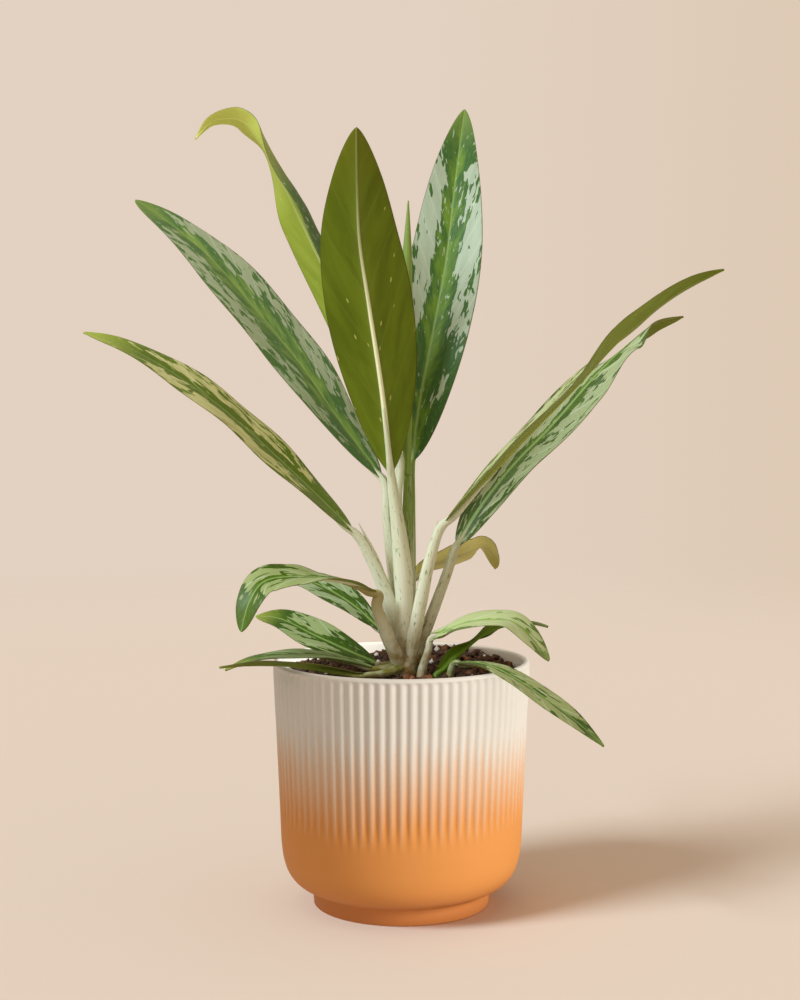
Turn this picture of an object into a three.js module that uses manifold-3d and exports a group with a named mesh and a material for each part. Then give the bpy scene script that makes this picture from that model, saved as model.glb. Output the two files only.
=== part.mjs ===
import * as THREE from 'three';
import Module from 'manifold-3d';
import { mergeVertices } from 'three/addons/utils/BufferGeometryUtils.js';

// Potted chinese evergreen in a fluted pot. Millimetres, +Z up.
// The origin is the centre of the flat underside of the pot. -Y is the front.

const wasm = await Module();
wasm.setup();

// Pot sizes
const FLUTES = 80;
const FLUTE_DEPTH = 1.1;
const RIM_HEIGHT = 144;
const RIM_RADIUS = 75;
const LIP_RADIUS = 2;
const LIP_ANGLES = [20, 90, 160];
// The fluted wall widens from WALL_RADIUS at the end of the flutes to RIM_RADIUS over WALL_SPREAD of height
const WALL_RADIUS = 71;
const WALL_SPREAD = 90;
const WALL_BEND = 1.1;
const FLUTE_END = 45;
const FLUTE_TOP = 139.5;
// Depth of the flutes on their way up, as a share of FLUTE_DEPTH: [height, share]
const FLUTE_STEPS = [[45, 0], [57, 0.7], [66, 1], [138, 1]];
// Outer profile from the ground up to the end of the flutes: [radius, height]
const LOWER_PROFILE = [
  [51.6, 0], [52, 6], [52.6, 9.6], [55.4, 11], [61.6, 14], [66.6, 20], [69.4, 28], [70.7, 38],
];
// Inner profile from the lip down to the floor: [radius, height]
const INNER_PROFILE = [[71, 139], [69.6, 110], [67.4, 40], [62, 22], [50, 14]];
const POT_FLOOR = 12;

// Soil sizes
const GAP = 0.3;
const SOIL_LEVEL = 135.8;
const SOIL_RADIUS = 70.1;
const SOIL_SEGMENTS = 36;
const SOIL_RINGS = 8;
const SOIL_EDGE_DROP = 1.2;
const SOIL_ROUGHNESS = 0.7;
// Two sets of low ridges cross on the soil, given as radians for each mm
const RIDGES = { x: 0.31, y: 0.27, slantX: -0.41, slantY: 0.53, slantShare: 0.6 };
const HEAP = { x: 24, y: 58, height: 6, spread: 30 };
const HOLE_SIDES = 12;
const HOLE_CLEARANCE = 0.9;

// Main stem, an upright oval column in its own hole in the soil
const STEM = { x: 2, y: -13, halfX: 6.6, halfY: 9.6, bottom: 112, shoulder: 143, top: 158 };
const STEM_SIDES = 16;
const STEM_TAPER = 0.5;
const OVERLAP = 0.01;
const STALK_SIDES = 8;
const STALK_TURN = 3.5;
const SHEATH_RADIUS = [2.6, 2.5, 0.4];
const SHEATH_SIDES = 6;
const SHEATH_STEPS = 5;
const SPEAR_STEPS = 9;

// Blade sizes
const BLADE_THICKNESS = 0.9;
const KEEL_HALF_WIDTH = 1.3;
const KEEL_NARROWING = 0.7;
const KEEL_MOST = 0.25;
const KEEL_BASE = 2.2;
const KEEL_TIP = 0.4;
const KEEL_RUN = 0.625;
const NECK = 2.3;
const LOBE_RUN = 0.2;
const RIPPLE_SHIFT = 0.3;
const TIP_HALF_WIDTH = 0.45;
// Places across each half of the blade, from the rib (0) to the margin (1)
const WIDE_COLUMNS = [0.34, 0.67, 1];
const NARROW_COLUMNS = [0.5, 1];
const NARROW_BLADE = 15;

// Leaves.
// rib: points along the midrib from base to tip.
// face: where the upper face looks, as [place along the rib from 0 to 1, x, y, z].
// half: greatest half width. widest: where along the rib that is. full: lower is fuller.
// fold and curl: degrees for each side of the rib, at the rib and added by the margin.
// span: stretch of the rib that curls. wave: height and number of ripples of the margin.
// neck: half width at the base. lobe: how far the base corners reach back.
// stalk: points of the stalk from the soil up. radius: stalk radius at the bottom, middle and top.
// sheath: points of the pointed flap along the stalk. own: the stalk rises from the soil on its own.
const LEAVES = {
  leaf_front_tall: {
    rib: [[-6, -24, 254], [-11, -34, 301], [-18, -46, 348], [-23, -56, 383], [-24, -66, 414],
      [-24, -76, 441]],
    face: [[0, 0, 1, 0.2]],
    half: 25, widest: 0.5, full: 0.7, fold: [8, 8], curl: [8, 8], wave: [0.6, 3], stations: 13,
    stalk: [[2, -14, 140], [2, -15, 155], [2, -19, 181], [-1, -21, 215]], radius: [5, 5.6, 2.6],
  },
  leaf_right_tall: {
    rib: [[6, 6, 260], [12, 14, 300], [19.5, 26, 340], [27, 40, 381], [31, 50, 414], [34.5, 60, 442],
      [39, 70, 474]],
    face: [[0, 0, -1, 0.3]],
    half: 22.5, widest: 0.46, full: 0.66, fold: [10, 10], curl: [6, 6], wave: [1.2, 3], stations: 13,
    stalk: [[3, -10, 140], [4.5, -5, 160], [5.2, 1, 202], [5.3, 4, 237]], radius: [4, 3.4, 2.6],
  },
  leaf_left_tall: {
    rib: [[-2, -8, 266], [-30, -12, 341], [-51, -14, 385], [-69, -17, 422], [-80, -20, 442],
      [-91, -22, 453], [-106, -24, 452], [-116, -26, 442]],
    face: [[0, 0.55, 0.72, 0.35], [0.6, 0.6, 0.66, 0.4], [0.78, 0.85, 0.15, 0.5], [0.88, -0.1, 0.38, 0.92]],
    half: 20, widest: 0.47, full: 0.9, fold: [34, 0], curl: [-150, 6], span: [0.05, 0.88], wave: [0.4, 2],
    stations: 16,
    stalk: [[0, -11, 140], [-1, -11, 160], [-1, -9, 203], [-2, -8, 238]], radius: [4, 3.2, 2.4],
  },
  leaf_left_long: {
    rib: [[-12, 0, 251], [-37, 7, 284], [-60, 17, 316.5], [-89, 29, 351.5], [-114, 39, 379.5],
      [-139, 48, 401], [-162, 55, 417]],
    face: [[0, 0.6, -0.52, 0.6]],
    half: 23.5, widest: 0.5, full: 0.62, fold: [2, 8], curl: [-4, 4], wave: [0.8, 3], stations: 13,
    stalk: [[0, -9, 140], [0, -7, 160], [-4, -5, 191], [-8, -2, 226]], radius: [4, 3.8, 2.6],
  },
  leaf_left_mid: {
    rib: [[-28, -18, 221], [-60, -26, 253], [-85, -32, 277], [-107, -38, 296], [-136, -44, 316],
      [-155, -48, 326], [-175, -52, 333]],
    face: [[0, 0.5, -0.4, 0.76]],
    half: 18, widest: 0.45, full: 0.7, fold: [5, 4], curl: [2, 2], wave: [0.8, 3], stations: 13,
    stalk: [[0, -13, 140], [-1, -12, 158], [-7, -14, 180], [-17, -16, 204]], radius: [4.5, 4.6, 2.8],
    sheath: [[-5, -13, 178], [-15, -15.5, 206], [-24.5, -17.5, 225]],
  },
  leaf_right_folded: {
    rib: [[25, -22, 226], [60, -30, 265], [97, -38, 303], [122, -43, 330], [144, -49, 349.5],
      [160, -54, 360], [176, -58, 367]],
    face: [[0, -0.68, 0, 0.73], [0.5, -0.68, 0, 0.73], [0.75, -0.55, 0.35, 0.7], [1, -0.4, 0.5, 0.75]],
    half: 19, widest: 0.42, full: 0.7, fold: [10, 9], curl: [3, 2], wave: [0.5, 3], stations: 13,
    stalk: [[4, -15, 140], [6, -18, 155], [11, -20, 181], [16, -21, 204]], radius: [4.5, 4.2, 3],
    sheath: [[9, -19, 178], [14.5, -20, 204], [20.8, -21, 227]],
  },
  leaf_right_long: {
    rib: [[33, 4, 211], [46, 8, 232], [66, 13, 257], [88, 19, 279], [119, 29, 313], [139, 37, 331],
      [153, 42, 341], [171, 46, 346]],
    face: [[0, -0.4, -0.75, 0.45], [0.6, -0.4, -0.75, 0.45], [0.8, -0.6, -0.1, 0.75],
      [0.9, -0.4, 0.6, 0.7]],
    half: 19, widest: 0.4, full: 0.7, fold: [-12, -24], curl: [-8, 86], span: [-0.2, 0.8], wave: [0.8, 3],
    stations: 14,
    stalk: [[4, -10, 140], [11, -5, 154], [21, -1, 179], [28, 2, 198]], radius: [4, 3.4, 2.8],
  },
  leaf_back_right: {
    rib: [[6, 12, 189], [14, 17, 196], [26, 25, 200], [41, 35, 204], [50, 42, 206.5], [54.5, 47, 201],
      [58, 51, 192]],
    face: [[0, -0.1, 0.75, 0.65], [0.6, -0.1, 0.75, 0.65], [0.85, 0.7, 0.65, 0.3]],
    half: 10, widest: 0.5, full: 0.5, fold: [6, 6], curl: [4, 4], wave: [0.4, 2], stations: 12,
    stalk: [[3, -8, 140], [2, 2, 158], [2, 7, 174]], radius: [3.4, 2.8, 2.2],
  },
  leaf_left_arch: {
    rib: [[-16.1, -30, 186.8], [-29, -35, 193.1], [-44.6, -40, 195.9], [-61.1, -45, 197],
      [-76.5, -49, 194.6], [-83.9, -54, 184.5], [-88.7, -57, 167.7]],
    face: [[0, 0.3, 0.3, 0.9], [0.25, 0.1, 0, 1], [0.5, -0.1, -0.4, 0.9], [0.75, -0.4, -0.75, 0.5],
      [1, -0.4, -0.8, 0.4]],
    half: 12.5, widest: 0.5, full: 0.6, fold: [6, 4], curl: [4, 2], wave: [0.5, 2], stations: 13,
    neck: 3,
    stalk: [[0, -16.5, 140], [-3, -21, 149], [-9, -25, 164], [-14, -28, 179]], radius: [4.2, 4.2, 3],
  },
  leaf_left_back: {
    rib: [[-13, 5, 161], [-30, 12, 175], [-49, 20, 185], [-61, 25, 188], [-72, 30, 187]],
    face: [[0, 0.3, -0.6, 0.7]],
    half: 11, widest: 0.5, full: 0.7, fold: [8, 8], curl: [4, 4], wave: [0.4, 2], stations: 10,
    stalk: [[0, -9, 140], [-3, -2, 149], [-8, 2, 156]], radius: [3.2, 2.8, 2.2],
  },
  leaf_left_low: {
    rib: [[-15, -15, 144], [-33, -10, 151], [-51, -5, 158.5], [-71, 2, 167], [-86, 8, 168]],
    face: [[0, 0.2, -0.6, 0.75]],
    half: 12, widest: 0.5, full: 0.7, fold: [6, 6], curl: [4, 4], wave: [0.4, 2], stations: 10,
    stalk: [[0, -13, 143], [-7, -15, 142.5]], radius: [2.6, 2.4, 2],
  },
  leaf_left_rim: {
    rib: [[-17, -28, 143.5], [-28, -29, 147], [-46, -32, 150.5], [-66, -37, 151.5], [-84, -41, 149.5],
      [-99, -45, 144.5]],
    face: [[0, 0, -0.1, 1]],
    half: 9.5, widest: 0.5, full: 0.7, fold: [5, 5], curl: [2, 2], wave: [0.4, 2], stations: 10,
    stalk: [[0, -17, 142.5], [-8, -24, 142]], radius: [2.6, 2.4, 2],
  },
  leaf_left_under: {
    rib: [[-22, -41, 141.5], [-38, -44, 144], [-56, -47, 147], [-78, -52, 149], [-101, -57, 148]],
    face: [[0, 0, 0.4, 0.9]],
    half: 6, widest: 0.45, full: 0.7, fold: [4, 4], curl: [2, 2], wave: [0.3, 2], stations: 10,
    stalk: [[1, -19, 142.5], [-7, -31, 141], [-13, -37, 140.8]], radius: [2.4, 2.2, 1.8],
  },
  leaf_right_arch: {
    rib: [[20.4, -25, 161.5], [34.6, -28, 168.2], [51.5, -32, 171.1], [62.7, -34, 170.2],
      [72.2, -37, 162.1], [83.3, -40, 148.9]],
    face: [[0, 0, -0.33, 0.94], [0.5, 0, -0.33, 0.94], [0.75, 0.5, -0.45, 0.7]],
    half: 11, widest: 0.55, full: 0.55, fold: [5, 5], curl: [4, 4], wave: [0.5, 2], stations: 12,
    neck: 5.4, lobe: 5, own: true,
    stalk: [[11.4, -22.8, 118], [11.4, -22.8, 139], [15, -24.5, 152]], radius: [3.6, 2.8, 2],
  },
  leaf_right_ribbon: {
    rib: [[22.3, -20.8, 139.9], [27, -18.2, 144.4], [34, -14.5, 150.5], [46, -6, 158.5], [61, 4, 163],
      [77, 14, 163], [88, 22, 160]],
    face: [[0, -0.3, 0.9, 0.3], [0.1, -0.3, 0.9, 0.3], [0.3, -0.6, 0.1, 0.7], [0.5, -0.2, 0.7, 0.7],
      [0.7, 0, 0.2, 1], [1, 0.1, -0.4, 0.9]],
    half: 7, widest: 0.35, full: 0.5, fold: [6, 6], curl: [4, 4], wave: [0.3, 2], stations: 13,
    neck: 3.6, own: true,
    stalk: [[20.5, -21.5, 118], [20.5, -21.5, 130]], radius: [2.6, 2.6, 2.2],
  },
  leaf_right_drape: {
    rib: [[33, -31, 146.5], [44, -44, 148], [53, -55, 146.7], [65, -67, 141.5], [77, -77, 134.5],
      [92, -87, 124.5], [108, -95, 111.5]],
    face: [[0, 0.2, -0.3, 0.93], [0.4, 0.35, -0.4, 0.85]],
    half: 9.5, widest: 0.55, full: 0.7, fold: [5, 3], curl: [2, 2], wave: [0.4, 2], stations: 12,
    neck: 3.2, own: true,
    stalk: [[27.5, -24.5, 118], [27.5, -24.5, 136]], radius: [2.6, 2.4, 2],
  },
};

// Newest leaf, still rolled up: [point, radius] from base to tip
const SPEAR = {
  rib: [[3.5, -2, 252], [3, -1, 300], [3, 1.5, 354], [4, 4, 411]],
  radius: [2.2, 3.4, 3, 0.4],
  stalk: [[3, -10, 140], [3, -5, 179], [3, -3, 226]],
  stalkRadius: [3.6, 3, 2.5],
};

// Colours
const COLOURS = { pot: '#dd9a63', soil: '#3a2318', stalk: '#dde0cc', leaf: '#6f9a5c' };

const vector = (p) => new THREE.Vector3(...p);
const radians = (degrees) => degrees * Math.PI / 180;
const smoothCurve = (points) => new THREE.CatmullRomCurve3(points.map(vector), false, 'centripetal');

// Value at t of a list spread evenly from 0 to 1
function listAt(list, t) {
  const place = Math.min(Math.max(t, 0), 1) * (list.length - 1);
  const low = Math.min(Math.floor(place), Math.max(list.length - 2, 0));
  const high = Math.min(low + 1, list.length - 1);
  return [list[low], list[high], place - low];
}

function numberAt(list, t) {
  const [a, b, k] = listAt(list, t);
  return a + (b - a) * k;
}

// Smoothly changing direction, from entries of [place, x, y, z]
function directionAt(list, t) {
  const high = Math.max(list.findIndex((entry) => entry[0] > t), 0) || list.length - 1;
  const low = list[high][0] > t ? high - 1 : high;
  const [from, ...a] = list[low];
  const [to, ...b] = list[high];
  const k = to > from ? (t - from) / (to - from) : 0;
  return vector(a).lerp(vector(b), k * k * (3 - 2 * k));
}

function geometryFrom(points, faces) {
  const geometry = new THREE.BufferGeometry();
  const places = points.flatMap((p) => [p.x, p.y, p.z]);
  geometry.setAttribute('position', new THREE.Float32BufferAttribute(places, 3));
  geometry.setIndex(faces.flat());
  return geometry;
}

function toManifold(geometry) {
  const bare = new THREE.BufferGeometry();
  bare.setAttribute('position', geometry.getAttribute('position').clone());
  if (geometry.index) bare.setIndex(geometry.index.clone());
  const merged = mergeVertices(bare, 1e-4);
  const mesh = new wasm.Mesh({
    numProp: 3,
    vertProperties: new Float32Array(merged.getAttribute('position').array),
    triVerts: new Uint32Array(merged.index.array),
  });
  return new wasm.Manifold(mesh);
}

function fromManifold(solid) {
  const mesh = solid.getMesh();
  const geometry = new THREE.BufferGeometry();
  geometry.setAttribute('position', new THREE.Float32BufferAttribute(mesh.vertProperties, 3));
  geometry.setIndex(Array.from(mesh.triVerts));
  return geometry;
}

// Rings of points stacked into a closed body. Neighbouring rings have as many points, or twice as many.
function stackRings(rings, firstCentre, lastCentre) {
  const points = [firstCentre];
  const starts = [];
  for (const ring of rings) {
    starts.push(points.length);
    points.push(...ring);
  }
  const last = points.length;
  points.push(lastCentre);
  const faces = [];
  const firstCount = rings[0].length;
  for (let i = 0; i < firstCount; i += 1) {
    faces.push([0, starts[0] + (i + 1) % firstCount, starts[0] + i]);
  }
  for (let level = 0; level + 1 < rings.length; level += 1) {
    const lower = rings[level].length;
    const upper = rings[level + 1].length;
    const a = (i) => starts[level] + i % lower;
    const b = (i) => starts[level + 1] + i % upper;
    for (let i = 0; i < Math.min(lower, upper); i += 1) {
      const odd = 2 * i + 1;
      if (lower === upper) {
        faces.push([a(i), a(i + 1), b(i + 1)], [a(i), b(i + 1), b(i)]);
      } else if (lower > upper) {
        faces.push([a(odd - 1), a(odd), b(i)], [a(odd), b(i + 1), b(i)], [a(odd), a(odd + 1), b(i + 1)]);
      } else {
        faces.push([a(i), b(odd), b(odd - 1)], [a(i), a(i + 1), b(odd)], [a(i + 1), b(odd + 1), b(odd)]);
      }
    }
  }
  const lastCount = rings.at(-1).length;
  const lastStart = starts.at(-1);
  for (let i = 0; i < lastCount; i += 1) {
    faces.push([last, lastStart + i, lastStart + (i + 1) % lastCount]);
  }
  return geometryFrom(points, faces);
}

function circle(count, radius, z, inward = 0) {
  return Array.from({ length: count }, (_, i) => {
    const angle = 2 * Math.PI * i / count;
    const r = radius - (i % 2) * inward;
    return new THREE.Vector3(r * Math.cos(angle), r * Math.sin(angle), z);
  });
}

// Pot with vertical flutes that fade out above the rounded bottom corner
function potGeometry() {
  const rings = [];
  for (const [r, z] of LOWER_PROFILE) rings.push(circle(FLUTES, r, z));
  for (const [z, share] of FLUTE_STEPS) {
    const rise = Math.max(0, Math.min(1, (z - FLUTE_END) / WALL_SPREAD));
    const r = WALL_RADIUS + (RIM_RADIUS - WALL_RADIUS) * rise ** WALL_BEND;
    rings.push(circle(2 * FLUTES, r, z, share * FLUTE_DEPTH));
  }
  rings.push(circle(FLUTES, RIM_RADIUS, FLUTE_TOP));
  for (const angle of LIP_ANGLES) {
    const r = RIM_RADIUS - LIP_RADIUS + LIP_RADIUS * Math.cos(radians(angle));
    rings.push(circle(FLUTES, r, RIM_HEIGHT - LIP_RADIUS + LIP_RADIUS * Math.sin(radians(angle))));
  }
  for (const [r, z] of INNER_PROFILE) rings.push(circle(FLUTES, r, z));
  return stackRings(rings, new THREE.Vector3(0, 0, 0), new THREE.Vector3(0, 0, POT_FLOOR));
}

function soilHeight(x, y) {
  const heap = HEAP.height * Math.exp(-((x - HEAP.x) ** 2 + (y - HEAP.y) ** 2) / HEAP.spread ** 2);
  const straight = Math.sin(RIDGES.x * x) * Math.cos(RIDGES.y * y);
  const slanted = RIDGES.slantShare * Math.sin(RIDGES.slantX * x + RIDGES.slantY * y);
  return SOIL_LEVEL + heap + SOIL_ROUGHNESS * (straight + slanted);
}

// Upright oval column, narrowed towards the top by the given share
function column(halfX, halfY, bottom, top, sides, narrowed = 1) {
  const geometry = new THREE.CylinderGeometry(narrowed, 1, top - bottom, sides);
  geometry.rotateX(Math.PI / 2);
  geometry.scale(halfX, halfY, 1);
  geometry.translate(0, 0, (top + bottom) / 2);
  return geometry;
}

// Soil that fills the pot, with a plain hole for every stem
function soilGeometry() {
  const rings = [];
  for (const [r, z] of [...INNER_PROFILE].reverse()) {
    if (z < SOIL_LEVEL) rings.push(circle(SOIL_SEGMENTS, r - 2 * GAP, z + GAP));
  }
  for (let ring = SOIL_RINGS; ring >= 1; ring -= 1) {
    const row = circle(SOIL_SEGMENTS, SOIL_RADIUS * ring / SOIL_RINGS, 0);
    const drop = ring === SOIL_RINGS ? SOIL_EDGE_DROP : 0;
    for (const p of row) p.z = soilHeight(p.x, p.y) - drop;
    rings.push(row);
  }
  const bottom = new THREE.Vector3(0, 0, POT_FLOOR + GAP);
  const top = new THREE.Vector3(0, 0, soilHeight(0, 0));
  let solid = toManifold(stackRings(rings, bottom, top));
  const oval = column(STEM.halfX + GAP, STEM.halfY + GAP, STEM.bottom - GAP, RIM_HEIGHT, STEM_SIDES);
  solid = solid.subtract(toManifold(oval.translate(STEM.x, STEM.y, 0)));
  for (const leaf of Object.values(LEAVES).filter((l) => l.own)) {
    const [x, y, z] = leaf.stalk[0];
    const radius = leaf.radius[0] + HOLE_CLEARANCE;
    const hole = column(radius, radius, z - GAP, RIM_HEIGHT, HOLE_SIDES);
    solid = solid.subtract(toManifold(hole.translate(x, y, 0)));
  }
  return fromManifold(solid);
}

// Round body along a curve with a changing radius
function sweep(points, radii, sides, steps) {
  const curve = smoothCurve(points);
  const rings = [];
  let across = new THREE.Vector3(1, 0, 0);
  for (let i = 0; i <= steps; i += 1) {
    const t = i / steps;
    const along = curve.getTangentAt(t);
    across = across.clone().addScaledVector(along, -across.dot(along)).normalize();
    const third = along.clone().cross(across);
    const centre = curve.getPointAt(t);
    const radius = numberAt(radii, t);
    rings.push(Array.from({ length: sides }, (_, k) => {
      const angle = 2 * Math.PI * k / sides;
      const place = centre.clone().addScaledVector(across, radius * Math.cos(angle));
      return place.addScaledVector(third, radius * Math.sin(angle));
    }));
  }
  return stackRings(rings, curve.getPointAt(0), curve.getPointAt(1));
}

// Stalk that ends a gap short of the blade and in line with its rib
function stalkGeometry(leaf) {
  const start = vector(leaf.rib[0]);
  const along = smoothCurve(leaf.rib).getTangentAt(0);
  const points = [...leaf.stalk];
  for (const back of [STALK_TURN, GAP]) {
    points.push(start.clone().addScaledVector(along, -back).toArray());
  }
  const radii = leaf.radius ?? leaf.stalkRadius;
  return sweep(points, radii, STALK_SIDES, points.length + 3);
}

// Main stem with the stalks that grow from it, as one body
function mainStemGeometry() {
  const lower = column(STEM.halfX, STEM.halfY, STEM.bottom, STEM.shoulder, STEM_SIDES);
  const upper = column(STEM.halfX, STEM.halfY, STEM.shoulder - OVERLAP, STEM.top, STEM_SIDES, STEM_TAPER);
  const trunk = toManifold(lower).add(toManifold(upper));
  let solid = trunk.translate([STEM.x, STEM.y, 0]);
  for (const leaf of [...Object.values(LEAVES).filter((l) => !l.own), SPEAR]) {
    solid = solid.add(toManifold(stalkGeometry(leaf)));
    if (leaf.sheath) {
      const flap = sweep(leaf.sheath, SHEATH_RADIUS, SHEATH_SIDES, SHEATH_STEPS);
      solid = solid.add(toManifold(flap));
    }
  }
  return fromManifold(solid);
}

// Leaf blade: a thin curved plate with a keel along the underside of the rib
function bladeGeometry(leaf) {
  const curve = smoothCurve(leaf.rib);
  const power = Math.log(0.5) / Math.log(leaf.widest);
  const outer = leaf.half > NARROW_BLADE ? WIDE_COLUMNS : NARROW_COLUMNS;
  const columns = outer.length * 2 + 3;
  const middle = [];
  const keels = [];
  for (let i = 0; i <= leaf.stations; i += 1) {
    const t = i / leaf.stations;
    const centre = curve.getPointAt(t);
    const along = curve.getTangentAt(t);
    const up = directionAt(leaf.face, t);
    up.addScaledVector(along, -up.dot(along)).normalize();
    const side = along.clone().cross(up);
    const shape = Math.sin(Math.PI * t ** power) ** leaf.full;
    const least = t < 0.5 ? leaf.neck ?? NECK : TIP_HALF_WIDTH;
    const half = Math.max(leaf.half * (shape || 0), least);
    const keelPart = Math.min(KEEL_HALF_WIDTH * (1 - KEEL_NARROWING * t) / half, KEEL_MOST);
    const reach = (leaf.lobe ?? 0) * Math.max(0, 1 - t / LOBE_RUN);
    const [from, to] = leaf.span ?? [0, 1];
    const place = Math.min(Math.max((t - from) / (to - from), 0), 1);
    const curling = Math.sqrt(Math.max(Math.sin(Math.PI * place), 0));
    const row = new Array(columns);
    const mid = outer.length + 1;
    row[mid] = centre;
    for (const [hand, which] of [[-1, 0], [1, 1]]) {
      let x = 0;
      let z = 0;
      let before = 0;
      [keelPart, ...outer].forEach((v, k) => {
        const angle = radians(leaf.fold[which] + leaf.curl[which] * curling * (v + before) / 2);
        x += (v - before) * half * Math.cos(angle);
        z += (v - before) * half * Math.sin(angle);
        before = v;
        const phase = 2 * Math.PI * (leaf.wave[1] * t + RIPPLE_SHIFT * hand);
        const ripple = leaf.wave[0] * v * v * shape * Math.sin(phase);
        const p = centre.clone().addScaledVector(side, hand * x).addScaledVector(up, z + ripple);
        row[mid + hand * (k + 1)] = p.addScaledVector(along, -reach * Math.max(0, 2 * v - 1));
      });
    }
    middle.push(row);
    keels.push(KEEL_BASE + (KEEL_TIP - KEEL_BASE) * Math.min(1, t / KEEL_RUN));
  }
  const points = [];
  const at = (i, j, lower) => (i * columns + j) * 2 + lower;
  const clamp = (value, top) => Math.min(Math.max(value, 0), top);
  middle.forEach((row, i) => row.forEach((p, j) => {
    const next = middle[clamp(i + 1, leaf.stations)][j];
    const last = middle[clamp(i - 1, leaf.stations)][j];
    const right = row[clamp(j + 1, columns - 1)];
    const left = row[clamp(j - 1, columns - 1)];
    const normal = right.clone().sub(left).cross(next.clone().sub(last)).normalize();
    const keel = j === outer.length + 1 ? keels[i] : 0;
    points.push(p.clone().addScaledVector(normal, BLADE_THICKNESS / 2));
    points.push(p.clone().addScaledVector(normal, -BLADE_THICKNESS / 2 - keel));
  }));
  const faces = [];
  const quad = (a, b, c, d) => faces.push([a, b, c], [a, c, d]);
  for (let i = 0; i < leaf.stations; i += 1) {
    for (let j = 0; j + 1 < columns; j += 1) {
      quad(at(i, j, 0), at(i, j + 1, 0), at(i + 1, j + 1, 0), at(i + 1, j, 0));
      faces.push([at(i, j, 1), at(i + 1, j + 1, 1), at(i, j + 1, 1)]);
      faces.push([at(i, j, 1), at(i + 1, j, 1), at(i + 1, j + 1, 1)]);
    }
    quad(at(i, 0, 1), at(i, 0, 0), at(i + 1, 0, 0), at(i + 1, 0, 1));
    const edge = columns - 1;
    quad(at(i, edge, 0), at(i, edge, 1), at(i + 1, edge, 1), at(i + 1, edge, 0));
  }
  for (let j = 0; j + 1 < columns; j += 1) {
    quad(at(0, j, 1), at(0, j + 1, 1), at(0, j + 1, 0), at(0, j, 0));
    const end = leaf.stations;
    quad(at(end, j, 0), at(end, j + 1, 0), at(end, j + 1, 1), at(end, j, 1));
  }
  return geometryFrom(points, faces);
}

function part(name, geometry, colour, roughness) {
  const material = new THREE.MeshStandardMaterial({ color: colour, roughness });
  const mesh = new THREE.Mesh(geometry, material);
  mesh.name = name;
  return mesh;
}

const plant = new THREE.Group();
plant.add(part('pot', potGeometry(), COLOURS.pot, 0.8));
plant.add(part('soil', soilGeometry(), COLOURS.soil, 1));
plant.add(part('main_stem', mainStemGeometry(), COLOURS.stalk, 0.5));
for (const [name, leaf] of Object.entries(LEAVES)) {
  if (leaf.own) plant.add(part(name.replace('leaf', 'stalk'), stalkGeometry(leaf), COLOURS.stalk, 0.5));
  plant.add(part(name, bladeGeometry(leaf), COLOURS.leaf, 0.45));
}
plant.add(part('leaf_spear', sweep(SPEAR.rib, SPEAR.radius, STALK_SIDES, SPEAR_STEPS), COLOURS.leaf, 0.45));

export default plant;
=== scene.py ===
"""Potted Chinese evergreen with silver-marked leaves, in a fluted pot that fades from ivory to orange."""
import functools
import math
import random
from bisect import bisect_left
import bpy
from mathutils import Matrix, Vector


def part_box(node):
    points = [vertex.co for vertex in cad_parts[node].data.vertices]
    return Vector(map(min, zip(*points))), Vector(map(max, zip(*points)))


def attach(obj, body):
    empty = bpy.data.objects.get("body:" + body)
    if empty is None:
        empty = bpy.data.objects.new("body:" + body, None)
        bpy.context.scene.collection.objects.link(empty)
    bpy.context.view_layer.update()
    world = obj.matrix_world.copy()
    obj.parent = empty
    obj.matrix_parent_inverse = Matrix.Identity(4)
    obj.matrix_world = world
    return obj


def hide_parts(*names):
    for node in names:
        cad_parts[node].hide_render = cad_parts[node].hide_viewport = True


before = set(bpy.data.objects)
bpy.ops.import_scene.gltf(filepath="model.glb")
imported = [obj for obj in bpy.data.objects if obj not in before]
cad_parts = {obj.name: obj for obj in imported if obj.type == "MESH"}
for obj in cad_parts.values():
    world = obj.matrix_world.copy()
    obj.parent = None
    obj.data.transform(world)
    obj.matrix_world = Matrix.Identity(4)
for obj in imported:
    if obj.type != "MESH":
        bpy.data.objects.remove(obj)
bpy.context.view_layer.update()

from types import SimpleNamespace

import bmesh
import bpy
from mathutils import Matrix, Vector, noise

bl_info = {
    "name": "Potted Chinese evergreen",
    "version": (1, 0, 0),
    "blender": (4, 5, 0),
    "location": "3D View > Sidebar > Evergreen",
    "description": "Fine surfaces and living colours for the potted Chinese evergreen",
    "category": "Object",
}

BODY = "root"
MM = 0.001
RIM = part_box("pot")[1] / MM

# Pot, from the ground up, as (radius, height) in millimetres: foot, rounded corner from the flutes' end down
# and inside from the lip down to the floor
POT_FOOT = [(0, 0), (26, 0), (51, 0), (51.6, 0.6), (52, 6), (52.3, 8.6)]
POT_CORNER = [(70.7, 38), (69.4, 28), (66.6, 20), (61.6, 14), (55.4, 11), (52.6, 9.6)]
POT_INSIDE = [(71, 139), (69.6, 110), (67.4, 40), (62, 22), (50, 14), (0, 12)]
WALL_RADIUS = 71
WALL_SPREAD = 90
WALL_BEND = 1.1
LIP_RADIUS = 2
LIP_START = 141.8
FLUTE_END = 45
FLUTE_FULL = 66
FLUTE_TOP = (140.5, 142.1)
# Mesh rows of the pot's parts and columns of one flute. Rows crowd towards the lip.
CORNER_ROWS, WALL_ROWS, LIP_ROWS, INSIDE_ROWS, FLUTE_COLUMNS = 20, 40, 8, 24, 8
CROWDING = 1.3

SOIL_LEVEL = 135.8
SOIL_RADIUS = 70.1
SOIL_SIDE = [(SOIL_RADIUS, 129.8), (66, 40), (61, 22.6), (49, 14.3), (0, 12.3)]
SOIL_RINGS, SOIL_COLUMNS = 40, 144
SOIL_EDGE_DROP = 1.2
SOIL_ROUGHNESS = 0.7
HEAP = {"x": 24, "y": 58, "height": 6, "spread": 30}
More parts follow.
